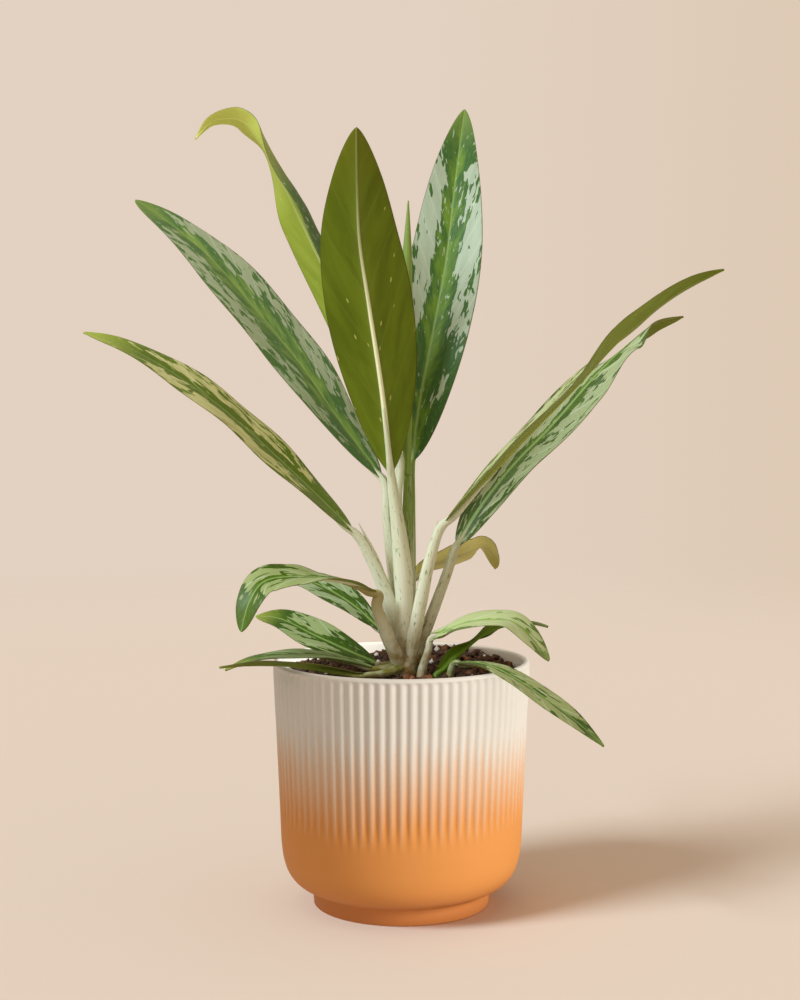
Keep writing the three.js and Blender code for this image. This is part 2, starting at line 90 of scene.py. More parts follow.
# Low ridges of the soil: waves per millimetre along x and y, then of the slanting ones, and their share
RIDGES = (0.31, 0.27, 0.41, 0.53, 0.6)
# Bark chips, in millimetres. The slender share is width to length and thickness to width.
CHIP_LENGTH = (1.0, 4.8)
CHIP_SLENDER = (0.25, 0.7)
CHIP_ROUGHNESS = 0.13
ROUNDED_LENGTH = 2.4
PERLITE_LENGTH = (1.2, 2.6)
PERLITE_EVERY = 60

# Side veins of both faces: how far they lead the midrib per millimetre outward, and millimetres between them
VEIN_LEAN, VEIN_GAP = 2.2, 19
UNDER_VEIN_LEAN, UNDER_VEIN_GAP = 2.0, 34
# Midrib, in millimetres: half width of the keel below, half width and depth of the groove above
KEEL_HALF_WIDTH, GROOVE_HALF_WIDTH, GROOVE_DEPTH = 1.5, 0.9, 0.3
KEEL_TIP, KEEL_FADE, KEEL_NARROWING = 0.4, 1.6, 0.7
# Blade: its half width at the tip, the shift between its margins' ripples, how far up the rib the base corners
# still reach back, and the share of its thickness lost at the margin
TIP_HALF_WIDTH, RIPPLE_SHIFT, LOBE_RUN, MARGIN_THINNING = 0.25, 0.3, 0.2, 0.6
LEAST_ROWS, ROW_LENGTH, COLUMN_CROWDING = 24, 3, 1.35
# How light spreads inside living leaf tissue
FLESH = {"Subsurface Radius": (0.6, 1, 0.3), "Subsurface Scale": 0.0012}

# Colouring of the usual leaf. zone: half width of the green along the rib, as a share of the blade's. tip and
# base: where the blade turns all green. marks: amount of green marks on the silver. seed moves the pattern.
# flush and tan: amount of green and of tan on the stalk.
USUAL_LOOK = {
    "silver": "#B4C5A8", "shade": "#9DB093", "green": "#648236", "deep": "#426434", "under": "#6C7F22",
    "under_dark": "#56680F", "rib": "#93B061", "under_rib": "#D3D6AE", "tip_colour": "#7C9440", "zone": 0.30,
    "tip": 0.90, "base": 0.08, "marks": 0.0, "seed": 1.0, "flush": 0.2, "tan": 0.0,
}
# Form of the usual leaf. sheath: points of the pale sleeve at its stalk. half: greatest half width. widest:
# where along the rib that is. full: lower is fuller. fold and curl: degrees on each side of the rib, at the rib
# and added by the margin. span: stretch that curls. wave: height and number of ripples of the margin. neck:
# half width at the base. lobe: how far the base corners reach back. own: the stalk rises from the soil by
# itself.
USUAL_LEAF = {
    "face": None, "sheath": None, "widest": 0.5, "full": 0.7, "fold": (6, 6), "curl": (4, 4), "span": (0, 1),
    "wave": (0.4, 2), "neck": 2.3, "lobe": 0, "own": False,
}


def tinted(**changes):
    """Colouring that differs from the usual leaf's."""
    return SimpleNamespace(**{**USUAL_LOOK, **changes})


def grown(**changes):
    """Leaf that differs from the usual one."""
    return SimpleNamespace(**{**USUAL_LEAF, **changes})


# Leaves, in millimetres. rib: points along the midrib from base to tip. face: where the upper face looks, as
# (place along the rib, x, y, z). stalk: points from the soil up. radius: of the stalk at its bottom, middle
# and top. look: its colouring.
LEAVES = {
    "leaf_front_tall": grown(
        rib=[(-6, -24, 254), (-11, -34, 301), (-18, -46, 348), (-23, -56, 383), (-24, -66, 414),
             (-24, -76, 441)],
        face=[(0, 0, 1, 0.2)],
        stalk=[(2, -14, 140), (2, -15, 155), (2, -19, 181), (-1, -21, 215)],
        half=25, fold=(8, 8), curl=(8, 8), wave=(0.6, 3), radius=(5, 5.6, 2.6),
        look=tinted(under="#647512", under_dark="#4C5802", under_rib="#F0F0C4", tip_colour="#6C6E12", seed=2)),
    "leaf_right_tall": grown(
        rib=[(6, 6, 260), (12, 14, 300), (19.5, 26, 340), (27, 40, 381), (31, 50, 414), (34.5, 60, 442),
             (39, 70, 474)],
        face=[(0, 0, -1, 0.3)],
        stalk=[(3, -10, 140), (4.5, -5, 160), (5.2, 1, 202), (5.3, 4, 237)],
        half=22.5, widest=0.46, full=0.66, fold=(10, 10), curl=(6, 6), wave=(1.2, 3), radius=(4, 3.4, 2.6),
        look=tinted(silver="#B9C7AC", green="#6E9030", deep="#42692F", zone=0.28, tip=0.94, base=0.34, seed=5.4,
            flush=1.2, shade="#98AA8C")),
    "leaf_left_tall": grown(
        rib=[(-2, -8, 266), (-30, -12, 341), (-51, -14, 385), (-69, -17, 422), (-80, -20, 442),
             (-91, -22, 453), (-106, -24, 452), (-116, -26, 442)],
        face=[(0, 0.55, 0.72, 0.35), (0.6, 0.6, 0.66, 0.4), (0.78, 0.85, 0.15, 0.5), (0.88, -0.1, 0.38, 0.92)],
        stalk=[(0, -11, 140), (-1, -11, 160), (-1, -9, 203), (-2, -8, 238)],
        half=20, widest=0.47, full=0.9, fold=(34, 0), curl=(-150, 6), span=(0.05, 0.88), radius=(4, 3.2, 2.4),
        # tip_colour here is partly the tip's real yellow-green and partly a painted highlight: the brightly lit
        # tip is painted pale yellow
        look=tinted(under="#98A83E", under_dark="#7C8E26", under_rib="#B4C073", tip_colour="#F8FF8C",
            green="#7C9456", deep="#5E7A48", zone=1.4, tip=0.72)),
    "leaf_left_long": grown(
        rib=[(-12, 0, 251), (-37, 7, 284), (-60, 17, 316.5), (-89, 29, 351.5), (-114, 39, 379.5),
             (-139, 48, 401), (-162, 55, 417)],
        face=[(0, 0.6, -0.52, 0.6)],
        stalk=[(0, -9, 140), (0, -7, 160), (-4, -5, 191), (-8, -2, 226)],
        half=23.5, full=0.62, fold=(2, 8), curl=(-4, 4), wave=(0.8, 3), radius=(4, 3.8, 2.6),
        look=tinted(silver="#ACB892", green="#82A24A", deep="#53793E", zone=0.32, base=0.1, tip=0.95, seed=3.3,
            shade="#96A880", marks=0.05)),
    "leaf_left_mid": grown(
        rib=[(-28, -18, 221), (-60, -26, 253), (-85, -32, 277), (-107, -38, 296), (-136, -44, 316),
             (-155, -48, 326), (-175, -52, 333)],
        face=[(0, 0.5, -0.4, 0.76)],
        stalk=[(0, -13, 140), (-1, -12, 158), (-7, -14, 180), (-17, -16, 204)],
        sheath=[(-5, -13, 178), (-15, -15.5, 206), (-24.5, -17.5, 225)],
        half=18, widest=0.45, fold=(5, 4), curl=(2, 2), wave=(0.8, 3), radius=(4.5, 4.6, 2.8),
        look=tinted(silver="#DADA98", green="#5E7420", deep="#65801A", zone=0.24, marks=0.1,
            tip_colour="#BFCB58", tip=0.88, base=0.16, seed=7.7, shade="#A8AA66")),
    "leaf_right_folded": grown(
        rib=[(25, -22, 226), (60, -30, 265), (97, -38, 303), (122, -43, 330), (144, -49, 349.5),
             (160, -54, 360), (176, -58, 367)],
        face=[(0, -0.68, 0, 0.73), (0.5, -0.68, 0, 0.73), (0.75, -0.55, 0.35, 0.7), (1, -0.4, 0.5, 0.75)],
        stalk=[(4, -15, 140), (6, -18, 155), (11, -20, 181), (16, -21, 204)],
        sheath=[(9, -19, 178), (14.5, -20, 204), (20.8, -21, 227)],
        half=19, widest=0.42, fold=(10, 9), curl=(3, 2), wave=(0.5, 3), radius=(4.5, 4.2, 3),
        look=tinted(silver="#B5B878", green="#7E8C36", deep="#5E6C24", under="#83953A", under_dark="#62741E",
            under_rib="#98A448", tip_colour="#68751A")),
    "leaf_right_long": grown(
        rib=[(33, 4, 211), (46, 8, 232), (66, 13, 257), (88, 19, 279), (119, 29, 313), (139, 37, 331),
             (153, 42, 341), (171, 46, 346)],
        face=[(0, -0.4, -0.75, 0.45), (0.6, -0.4, -0.75, 0.45), (0.8, -0.6, -0.1, 0.75), (0.9, -0.4, 0.6, 0.7)],
        stalk=[(4, -10, 140), (11, -5, 154), (21, -1, 179), (28, 2, 198)],
        half=19, widest=0.4, fold=(-12, -24), curl=(-8, 86), span=(-0.2, 0.8), wave=(0.8, 3),
        radius=(4, 3.4, 2.8),
        look=tinted(silver="#A2AC7C", green="#526E20", deep="#40581C", zone=0.13, base=0.14,
            tip_colour="#6E7A26", under="#84863A", seed=4.6, shade="#90A06C", tan=0.55)),
    "leaf_back_right": grown(
        rib=[(6, 12, 189), (14, 17, 196), (26, 25, 200), (41, 35, 204), (50, 42, 206.5), (54.5, 47, 201),
             (58, 51, 192)],
        face=[(0, -0.1, 0.75, 0.65), (0.6, -0.1, 0.75, 0.65), (0.85, 0.7, 0.65, 0.3)],
        stalk=[(3, -8, 140), (2, 2, 158), (2, 7, 174)],
        half=10, full=0.5, radius=(3.4, 2.8, 2.2),
        look=tinted(under="#F0EC9C", under_dark="#D2CA74", under_rib="#C4BE84", tip_colour="#B0A43A",
            silver="#D4CA7E", green="#A9A84E", tan=0.7)),
    "leaf_left_arch": grown(
        rib=[(-16.1, -30, 186.8), (-29, -35, 193.1), (-44.6, -40, 195.9), (-61.1, -45, 197),
             (-76.5, -49, 194.6), (-83.9, -54, 184.5), (-88.7, -57, 167.7)],
        face=[(0, 0.3, 0.3, 0.9), (0.25, 0.1, 0, 1), (0.5, -0.1, -0.4, 0.9), (0.75, -0.4, -0.75, 0.5),
              (1, -0.4, -0.8, 0.4)],
        stalk=[(0, -16.5, 140), (-3, -21, 149), (-9, -25, 164), (-14, -28, 179)],
        half=12.5, full=0.6, fold=(6, 4), curl=(4, 2), wave=(0.5, 2), neck=4.2, radius=(4.2, 4.2, 3),
        look=tinted(silver="#99A668", green="#4E6A0C", deep="#3C5608", zone=0.16, base=0.14, tip=0.84,
            tip_colour="#4E680A", under="#8A9040", seed=6.1, shade="#7F8E4C", tan=1, marks=-0.02)),
    "leaf_left_back": grown(
        rib=[(-13, 5, 161), (-30, 12, 175), (-49, 20, 185), (-61, 25, 188), (-72, 30, 187)],
        face=[(0, 0.3, -0.6, 0.7)],
        stalk=[(0, -9, 140), (-3, -2, 149), (-8, 2, 156)],
        half=11, fold=(8, 8), radius=(3.2, 2.8, 2.2),
        look=tinted(silver="#9DAE7C", green="#4E6C1C", deep="#3A5814", zone=0.26, seed=8.2, shade="#86986A",
            under_rib="#9AA864")),
    "leaf_left_low": grown(
        rib=[(-15, -15, 144), (-33, -10, 151), (-51, -5, 158.5), (-71, 2, 167), (-86, 8, 168)],
        face=[(0, 0.2, -0.6, 0.75)],
        stalk=[(0, -13, 143), (-7, -15, 142.5)],
        half=12, radius=(2.6, 2.4, 2),
        look=tinted(silver="#9DAD72", green="#4E6C1A", deep="#3A5814", zone=0.2, base=0.3, tip_colour="#9CA440",
            tip=0.84, seed=9.5, shade="#8A9C62", flush=2.3, marks=0.04)),
    "leaf_left_rim": grown(
        rib=[(-17, -28, 143.5), (-28, -29, 147), (-46, -32, 150.5), (-66, -37, 151.5), (-84, -41, 149.5),
             (-99, -45, 144.5)],
        face=[(0, 0, -0.1, 1)],
        stalk=[(0, -17, 142.5), (-8, -24, 142)],
        half=9.5, fold=(5, 5), curl=(2, 2), radius=(2.6, 2.4, 2),
        look=tinted(silver="#83955E", green="#4C6A1A", deep="#38541A", zone=0.2, tip_colour="#9CA440", tip=0.82,
            seed=2.9, shade="#6E8048", flush=2.3, under_rib="#8A9A50")),
    "leaf_left_under": grown(
        rib=[(-22, -41, 141.5), (-38, -44, 144), (-56, -47, 147), (-78, -52, 149), (-101, -57, 148)],
        face=[(0, 0, 0.4, 0.9)],
        stalk=[(1, -19, 142.5), (-7, -31, 141), (-13, -37, 140.8)],
        half=6, widest=0.45, fold=(4, 4), curl=(2, 2), wave=(0.3, 2), radius=(2.4, 2.2, 1.8),
        look=tinted(green="#5F6E24", deep="#434F18", zone=1.5, under="#5C6A20", tip_colour="#8E9440",
            under_dark="#434F12", flush=2.4, under_rib="#66742A")),
    "leaf_right_arch": grown(
        rib=[(20.4, -25, 161.5), (34.6, -28, 168.2), (51.5, -32, 171.1), (62.7, -34, 170.2),
             (72.2, -37, 162.1), (83.3, -40, 148.9)],
        face=[(0, 0, -0.33, 0.94), (0.5, 0, -0.33, 0.94), (0.75, 0.5, -0.45, 0.7)],
        stalk=[(11.4, -22.8, 118), (11.4, -22.8, 139), (15, -24.5, 152)],
        half=11, widest=0.55, full=0.55, fold=(5, 5), wave=(0.5, 2), neck=5.4, lobe=5, radius=(3.6, 2.8, 2),
        own=True,
        look=tinted(silver="#BAC488", green="#7A963A", deep="#5E7A30", zone=0.08, marks=-0.12, base=0.02,
            tip=0.93, tip_colour="#93A85E", under="#A9B27A", seed=1.8, shade="#A4B076")),
    "leaf_right_ribbon": grown(
        rib=[(22.3, -20.8, 139.9), (27, -18.2, 144.4), (34, -14.5, 150.5), (46, -6, 158.5), (61, 4, 163),
             (77, 14, 163), (88, 22, 160)],
        face=[(0, -0.3, 0.9, 0.3), (0.1, -0.3, 0.9, 0.3), (0.3, -0.6, 0.1, 0.7), (0.5, -0.2, 0.7, 0.7),
              (0.7, 0, 0.2, 1), (1, 0.1, -0.4, 0.9)],
        stalk=[(20.5, -21.5, 118), (20.5, -21.5, 130)],
        half=7, widest=0.35, full=0.5, wave=(0.3, 2), neck=3.6, radius=(2.6, 2.6, 2.2), own=True,
        look=tinted(green="#58780F", deep="#48620C", zone=1.6, rib="#7F9A34", tip_colour="#7D9636",
            under="#5E8010", flush=3, under_dark="#4E6C08", under_rib="#6E8E24")),
    "leaf_right_drape": grown(
        rib=[(33, -31, 146.5), (44, -44, 148), (53, -55, 146.7), (65, -67, 141.5), (77, -77, 134.5),
             (92, -87, 124.5), (108, -95, 111.5)],
        face=[(0, 0.2, -0.3, 0.93), (0.4, 0.35, -0.4, 0.85)],
        stalk=[(27.5, -24.5, 118), (27.5, -24.5, 136)],
        half=9.5, widest=0.55, fold=(5, 3), curl=(2, 2), neck=4.4, radius=(2.6, 2.4, 2), own=True,
        look=tinted(silver="#9CA368", green="#4C661C", deep="#3C5418", zone=0.14, base=0.16, marks=0.02,
            tip=0.94, seed=3.8, shade="#7E8A4A", flush=2.5)),
}
SPEAR = grown(
    rib=[(3.5, -2, 252), (3, -1, 300), (3, 1.5, 354), (4, 4, 411)],
    roll=(2.2, 3.2, 3.6, 3.6, 2.9, 0.4),
    stalk=[(3, -10, 140), (3, -5, 179), (3, -3, 226)],
    radius=(3.6, 3, 2.5),
    look=tinted(flush=1.2))
# Stem: its middle line, its half depths along it, its half width as a share of them and its sleeves' radii
STEM_RISE = [(2, -13, 112), (2, -13, 128), (2, -13, 143), (2, -13, 158)]
STEM_RADII = (9.6, 9.6, 9.6, 4.8)
STEM_FLATNESS = 6.6 / 9.6
SHEATH_RADIUS = (2.6, 2.5, 0.4)
# Distance under the blade at which a stalk turns into its rib, and the shares of the rib that it follows
STALK_TURN = 3.5
RIB_PLACES = (0.03, 0.1, 0.2)
RIB_END = 0.75
# Channel of a stalk, as (depth, half angle), and the ridges beside it, as (height, angle, half width)
CHANNEL = (0.2, 0.5)
RIDGE = (0.09, 0.85, 0.2)
# Shares of a stalk between which it turns tan
TAN_RISE = (0.1, 0.8)


class Path:
    """Smooth curve through points, in millimetres, read by the share of its length from 0 to 1."""

    STEPS = 24

    def __init__(self, points):
        knots = [Vector(p) for p in points]
        knots = [2 * knots[0] - knots[1], *knots, 2 * knots[-1] - knots[-2]]
        self.samples = [knots[1]]
        for before, start, end, after in zip(knots, knots[1:], knots[2:], knots[3:]):
            a, b, c = ((q - p).length ** 0.5 for p, q in ((before, start), (start, end), (end, after)))
            leave = b * ((start - before) / a - (end - before) / (a + b) + (end - start) / b)
            arrive = b * ((end - start) / b - (after - start) / (b + c) + (after - end) / c)
            for step in range(1, self.STEPS + 1):
                s = step / self.STEPS
                self.samples.append(
                    (2 * s**3 - 3 * s**2 + 1) * start + (s**3 - 2 * s**2 + s) * leave
                    + (3 * s**2 - 2 * s**3) * end + (s**3 - s**2) * arrive)
        self.lengths = [0]
        for p, q in zip(self.samples, self.samples[1:]):
            self.lengths.append(self.lengths[-1] + (q - p).length)
        self.length = self.lengths[-1]

    def at(self, share):
        """Point at a share of the length. Beyond the ends the curve goes on straight."""
        reach = share * self.length
        after = min(max(bisect_left(self.lengths, reach), 1), len(self.samples) - 1)
        start, end = self.lengths[after - 1], self.lengths[after]
        return self.samples[after - 1].lerp(self.samples[after], (reach - start) / (end - start))

    def along(self, share):
        """Direction of the curve there."""
        step = 0.01
        return (self.at(share + step) - self.at(share - step)).normalized()


def between(low, high, value):
    """0 below low, 1 above high and smooth in between."""
    share = min(max((value - low) / (high - low), 0), 1)
    return share * share * (3 - 2 * share)


def spread(values, share):
    """Value at a share from 0 to 1 of a few values spread evenly."""
    place = min(max(share, 0), 1) * (len(values) - 1)
    low = min(int(place), len(values) - 2)
    return values[low] + (values[low + 1] - values[low]) * (place - low)


def facing(entries, share):
    """Direction at a share of the rib, changing smoothly between the entries (place, x, y, z)."""
    before = entries[0]
    for entry in entries:
        if entry[0] > share:
            part = between(before[0], entry[0], share)
            return Vector(before[1:]).lerp(Vector(entry[1:]), part)
        before = entry
    return Vector(before[1:])


def linear(code):
    """Linear colour with full alpha from an sRGB code such as #A0B0C0."""
    parts = [int(code[i:i + 2], 16) / 255 for i in (1, 3, 5)]
    return (*[c / 12.92 if c <= 0.04045 else ((c + 0.055) / 1.055) ** 2.4 for c in parts], 1)


def nodes_in(owner):
    """Empties the node tree of a material or world and returns a function that adds nodes to it."""
    owner.use_nodes = True
    tree = owner.node_tree
    tree.nodes.clear()

    def add(kind, *values, out=0, **named):
        """Adds one shader node, such as "Math ADD" with its operation, and returns one of its outputs.

        A value is a number, a colour code or a link. Names with a capital are sockets, the others settings.
        """
        kind, _, operation = kind.partition(" ")
        made = tree.nodes.new("ShaderNode" + kind)
        if operation:
            made.operation = operation
        for name in [name for name in named if name[0].islower()]:
            setattr(made, name, named.pop(name))
        for key, value in [*enumerate(values), *named.items()]:
            if isinstance(value, bpy.types.NodeSocket):
                tree.links.new(value, made.inputs[key])
            elif value is not None:
                made.inputs[key].default_value = linear(value) if isinstance(value, str) else value
        return made.outputs[out] if len(made.outputs) else None

    return add


def surface(**constants):
    """Turns build(add, ...), which returns the Principled sockets that vary, into a maker of materials."""
    def wrap(build):
        @functools.wraps(build)
        def make(name, *settings):
            made = bpy.data.materials.new(name)
            add = nodes_in(made)
            add("OutputMaterial", add("BsdfPrincipled", **{**constants, **build(add, *settings)}))
            return made
        return make
    return wrap


def layered(add, colour, layers):
    """Colour with others laid over it, each an (amount, colour) pair in order."""
    for amount, over in layers:
        colour = add("Mix", amount, *[None] * 5, colour, over, out=2, data_type="RGBA")
    return colour


def relief(add, height, depth_mm):
    """Normal for a height from 0 to 1 that stands depth_mm proud."""
    return add("Bump", Strength=1, Distance=depth_mm * MM, Height=height)


def grid_sheet(rows, columns, place, marks):
    """bmesh grid with its vertices at place(u, v) and marks(u, v) kept in named float_vector layers."""
    bm = bmesh.new()
    bmesh.ops.create_grid(bm, x_segments=rows, y_segments=columns, size=0.5)
    layers = {name: bm.verts.layers.float_vector.new(name) for name in marks(0.5, 0.5)}
    for vert in bm.verts:
        u, v = vert.co.x + 0.5, vert.co.y + 0.5
        for name, value in marks(u, v).items():
            vert[layers[name]] = value
        vert.co = place(u, v)
    return bm


def join_into(target, source):
    """Adds source's faces to target and frees source. Both are in millimetres."""
    scratch = bpy.data.meshes.new("scratch")
    source.to_mesh(scratch)
    source.free()
    target.from_mesh(scratch)
    bpy.data.meshes.remove(scratch)


def make_piece(name, bm, materials, node):
    """Turns a bmesh in millimetres into an object that rides on the body and stands for the CAD node."""
    bmesh.ops.scale(bm, vec=(MM, MM, MM), verts=bm.verts)
    mesh = bpy.data.meshes.new(name)
    bm.to_mesh(mesh)
    bm.free()
    for material in materials:
        mesh.materials.append(material)
    mesh.shade_smooth()
    piece = bpy.data.objects.new(name, mesh)
    bpy.context.scene.collection.objects.link(piece)
    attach(piece, BODY)
    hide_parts(node)
    return piece


# Pot

@surface(IOR=1.5)
def glazed_stoneware(add, sizes):
    """Matt glazed stoneware, sprayed from ivory to orange, gathered in the grooves and fading in streaks."""
    place = add("TexCoord", out="Object")
    x, y, z = add("SeparateXYZ", place).node.outputs
    turn = add("Math ARCTAN2", y, x)
    wave = add("Math MULTIPLY", turn, float(sizes.flutes))
    ridge = add("Math COSINE", wave)
    groove = add("MapRange", ridge, 0.75, -0.55)
    height = add("Math MULTIPLY", z, 1000)
    drift = add("TexNoise", place, Scale=14, Detail=1)
    streak_place = add("VectorMath MULTIPLY", place, (260, 260, 22))
    streaks = add("TexNoise", streak_place, Scale=1, Detail=2)
    mist = add("TexNoise", place, Scale=900, Detail=2)
    level = add("Math MULTIPLY_ADD", drift, -20, height)
    level = add("Math MULTIPLY_ADD", streaks, -14, level)
    level = add("Math MULTIPLY_ADD", mist, -9, level)
    level = add("Math MULTIPLY_ADD", groove, -11, level)
    spray = add("MapRange", level, 80, 27)
    haze = add("MapRange", level, 92, 40, 0, 0.4, interpolation_type="SMOOTHSTEP")
    # Painted shade: the orange is darkened towards the foot, where the wall curves under towards the floor
    deep = add("MapRange", height, 30, 2, 0, 0.7, interpolation_type="SMOOTHSTEP")
    span = add("VectorMath LENGTH", add("CombineXYZ", x, y), out="Value")
    # Painted light: the inside of the wall is painted whiter than the glaze, standing in for the light that
    # falls on the inner wall
    wall = add("MapRange", height, 40, 140, 68.8, 72.3)
    inside = add("MapRange", add("Math MULTIPLY_ADD", span, -1000, wall), -0.4, 0.2)
    inside = add("Math MULTIPLY", inside, add("MapRange", height, 60, 70))
    colour = layered(add, sizes.ivory, [
        (inside, sizes.inner), (haze, sizes.peach), (spray, sizes.orange), (deep, sizes.foot_shade_orange)])
    grain = add("TexNoise", place, Scale=1600, Detail=3)
    rough = add("MapRange", grain, 0.3, 0.7, 0.68, 0.8)
    return {"Base Color": colour, "Roughness": rough, "Normal": relief(add, grain, 0.05)}


def wall_radius(height):
    """Outer radius of the fluted wall, in millimetres."""
    rise = min(max(height - FLUTE_END, 0) / WALL_SPREAD, 1)
    return WALL_RADIUS + (RIM.x - WALL_RADIUS) * rise**WALL_BEND


def turned(outline, steps):
    """bmesh of a half outline of (radius, height) pairs spun round the pot's axis."""
    bm = bmesh.new()
    verts = [bm.verts.new((r, 0, z)) for r, z in outline]
    edges = [bm.edges.new(pair) for pair in zip(verts, verts[1:])]
    bmesh.ops.spin(bm, geom=verts + edges, cent=(0, 0, 0), axis=(0, 0, 1), angle=2 * math.pi, steps=steps,
                   use_merge=True)
    bmesh.ops.remove_doubles(bm, verts=bm.verts, dist=0.001)
    return bm


def pot_outline():
    """Half outline of the pot from the middle of its underside, over the lip, to the middle of its floor."""
    corner = Path([(r, 0, z) for r, z in POT_CORNER])
    inside = Path([(r, 0, z) for r, z in POT_INSIDE])
    points = POT_FOOT + [(p.x, p.z) for p in (corner.at(1 - i / CORNER_ROWS) for i in range(CORNER_ROWS + 1))]
    for row in range(WALL_ROWS + 1):
        z = FLUTE_END + (LIP_START - FLUTE_END) * (1 - (1 - row / WALL_ROWS) ** CROWDING)
        points.append((wall_radius(z), z))
    for row in range(LIP_ROWS + 1):
        angle = math.pi * row / LIP_ROWS
        points.append((RIM.x - LIP_RADIUS * (1 - math.cos(angle)), RIM.z - LIP_RADIUS * (1 - math.sin(angle))))
    points += [(p.x, p.z) for p in (inside.at(i / INSIDE_ROWS) for i in range(1, INSIDE_ROWS))]
    return points + [(0, POT_INSIDE[-1][1])]


def make_pot(sizes):
    """Spins the pot's outline round and presses the flutes into its wall."""
    bm = turned(pot_outline(), sizes.flutes * FLUTE_COLUMNS)
    for vert in bm.verts:
        x, y, z = vert.co
        radius = math.hypot(x, y)
        if z > FLUTE_END and radius > wall_radius(z) - 0.01:
            fade = between(FLUTE_END, FLUTE_FULL, z) * (1 - between(*FLUTE_TOP, z))
            groove = ((1 - math.cos(sizes.flutes * math.atan2(y, x))) / 2) ** CROWDING
            pressed = (radius - sizes.flute_depth * fade * groove) / radius
            vert.co.x *= pressed
            vert.co.y *= pressed
    bmesh.ops.recalc_face_normals(bm, faces=bm.faces)
    return make_piece("pot_fluted", bm, [glazed_stoneware("glazed_stoneware", sizes)], "pot")


# Soil

@surface(Roughness=0.92, IOR=1.45)
def bark_mix(add, sizes):
    """Damp composted bark: dull, fibrous and uneven, from near black to red-brown, with white perlite."""
    place = add("TexCoord", out="Object")
    kind = add("SeparateXYZ", add("Attribute", attribute_name="kind", out="Vector"))
    fibre_place = add("VectorMath MULTIPLY", place, (900, 420, 900))
    fibre = add("TexNoise", fibre_place, Scale=1, Detail=4, Roughness=0.65)
    clod = add("TexNoise", place, Scale=160, Detail=3)
    red = add("MapRange", kind, 0.25, 0.95)
    dusty = add("MapRange", fibre, 0.48, 0.75, 0, 0.5)
    dark = add("MapRange", clod, 0.42, 0.62, 0.75, 0)
    white = add("Math GREATER_THAN", kind, 1.5)
    colour = layered(add, sizes.soil, [
        (red, sizes.bark), (dusty, sizes.chip), (dark, "#1C100B"), (white, sizes.perlite)])
    return {"Base Color": colour, "Normal": relief(add, fibre, 0.5)}


def soil_height(x, y):
    """Height of the soil's surface, as in the CAD, in millimetres."""
    heap = HEAP["height"] * math.exp(-((x - HEAP["x"]) ** 2 + (y - HEAP["y"]) ** 2) / HEAP["spread"] ** 2)
    along, across, slant_x, slant_y, share = RIDGES
    ridges = math.sin(along * x) * math.cos(across * y) + share * math.sin(slant_y * y - slant_x * x)
    return SOIL_LEVEL + heap + SOIL_ROUGHNESS * ridges


def make_soil(sizes):
    """Spins a bed of soil, roughens its top and scatters bark chips and perlite over it."""
    top = [(SOIL_RADIUS * i / SOIL_RINGS, SOIL_LEVEL) for i in range(SOIL_RINGS + 1)]
    bm = turned(top + SOIL_SIDE, SOIL_COLUMNS)
    for vert in bm.verts:
        if vert.co.z > SOIL_LEVEL - 1:
            x, y, _ = vert.co
            lump = 1.1 * noise.noise((x / 4, y / 4, 3)) + 0.8 * noise.noise((x / 1.7, y / 1.7, 9))
            vert.co.z = soil_height(x, y) + lump
            if math.hypot(x, y) > SOIL_RADIUS - 0.5:
                vert.co.z -= SOIL_EDGE_DROP
    bmesh.ops.recalc_face_normals(bm, faces=bm.faces)
    bm.verts.layers.float_vector.new("kind")
    draw = random.Random(11)
    for number in range(sizes.chips):
        radius = (SOIL_RADIUS - 1.5) * math.sqrt(draw.random())
        turn = draw.uniform(0, 2 * math.pi)
        x, y = radius * math.cos(turn), radius * math.sin(turn)
        pale = number % PERLITE_EVERY == 0
        length = draw.uniform(*(PERLITE_LENGTH if pale else CHIP_LENGTH))
        width = length * (draw.uniform(0.7, 1) if pale else draw.uniform(*CHIP_SLENDER))
        thick = width * (0.8 if pale else draw.uniform(*CHIP_SLENDER))
        tilt = Matrix.Rotation(draw.uniform(0, 6.28), 4, "Z") @ Matrix.Rotation(draw.gauss(0, 0.45), 4, "Y")
        spot = Matrix.Translation((x, y, soil_height(x, y) + draw.uniform(-0.2, 1.1)))
        chip = bmesh.new()
        bmesh.ops.create_cube(chip, size=1, matrix=spot @ tilt @ Matrix.Diagonal((length, width, thick, 1)))
        if length > ROUNDED_LENGTH or pale:
            bmesh.ops.subdivide_edges(chip, edges=chip.edges, cuts=1, smooth=0.8, use_grid_fill=True)
        tinted_by = chip.verts.layers.float_vector.new("kind")
        tint = 2.0 if pale else draw.random()
        for vert in chip.verts:
            vert[tinted_by] = (tint, 0, 0)
            vert.co += Vector([draw.gauss(0, 1) for _ in range(3)]) * CHIP_ROUGHNESS * width
        join_into(bm, chip)
    return make_piece("soil_bed", bm, [bark_mix("composted_bark", sizes)], "soil")


# Stalks

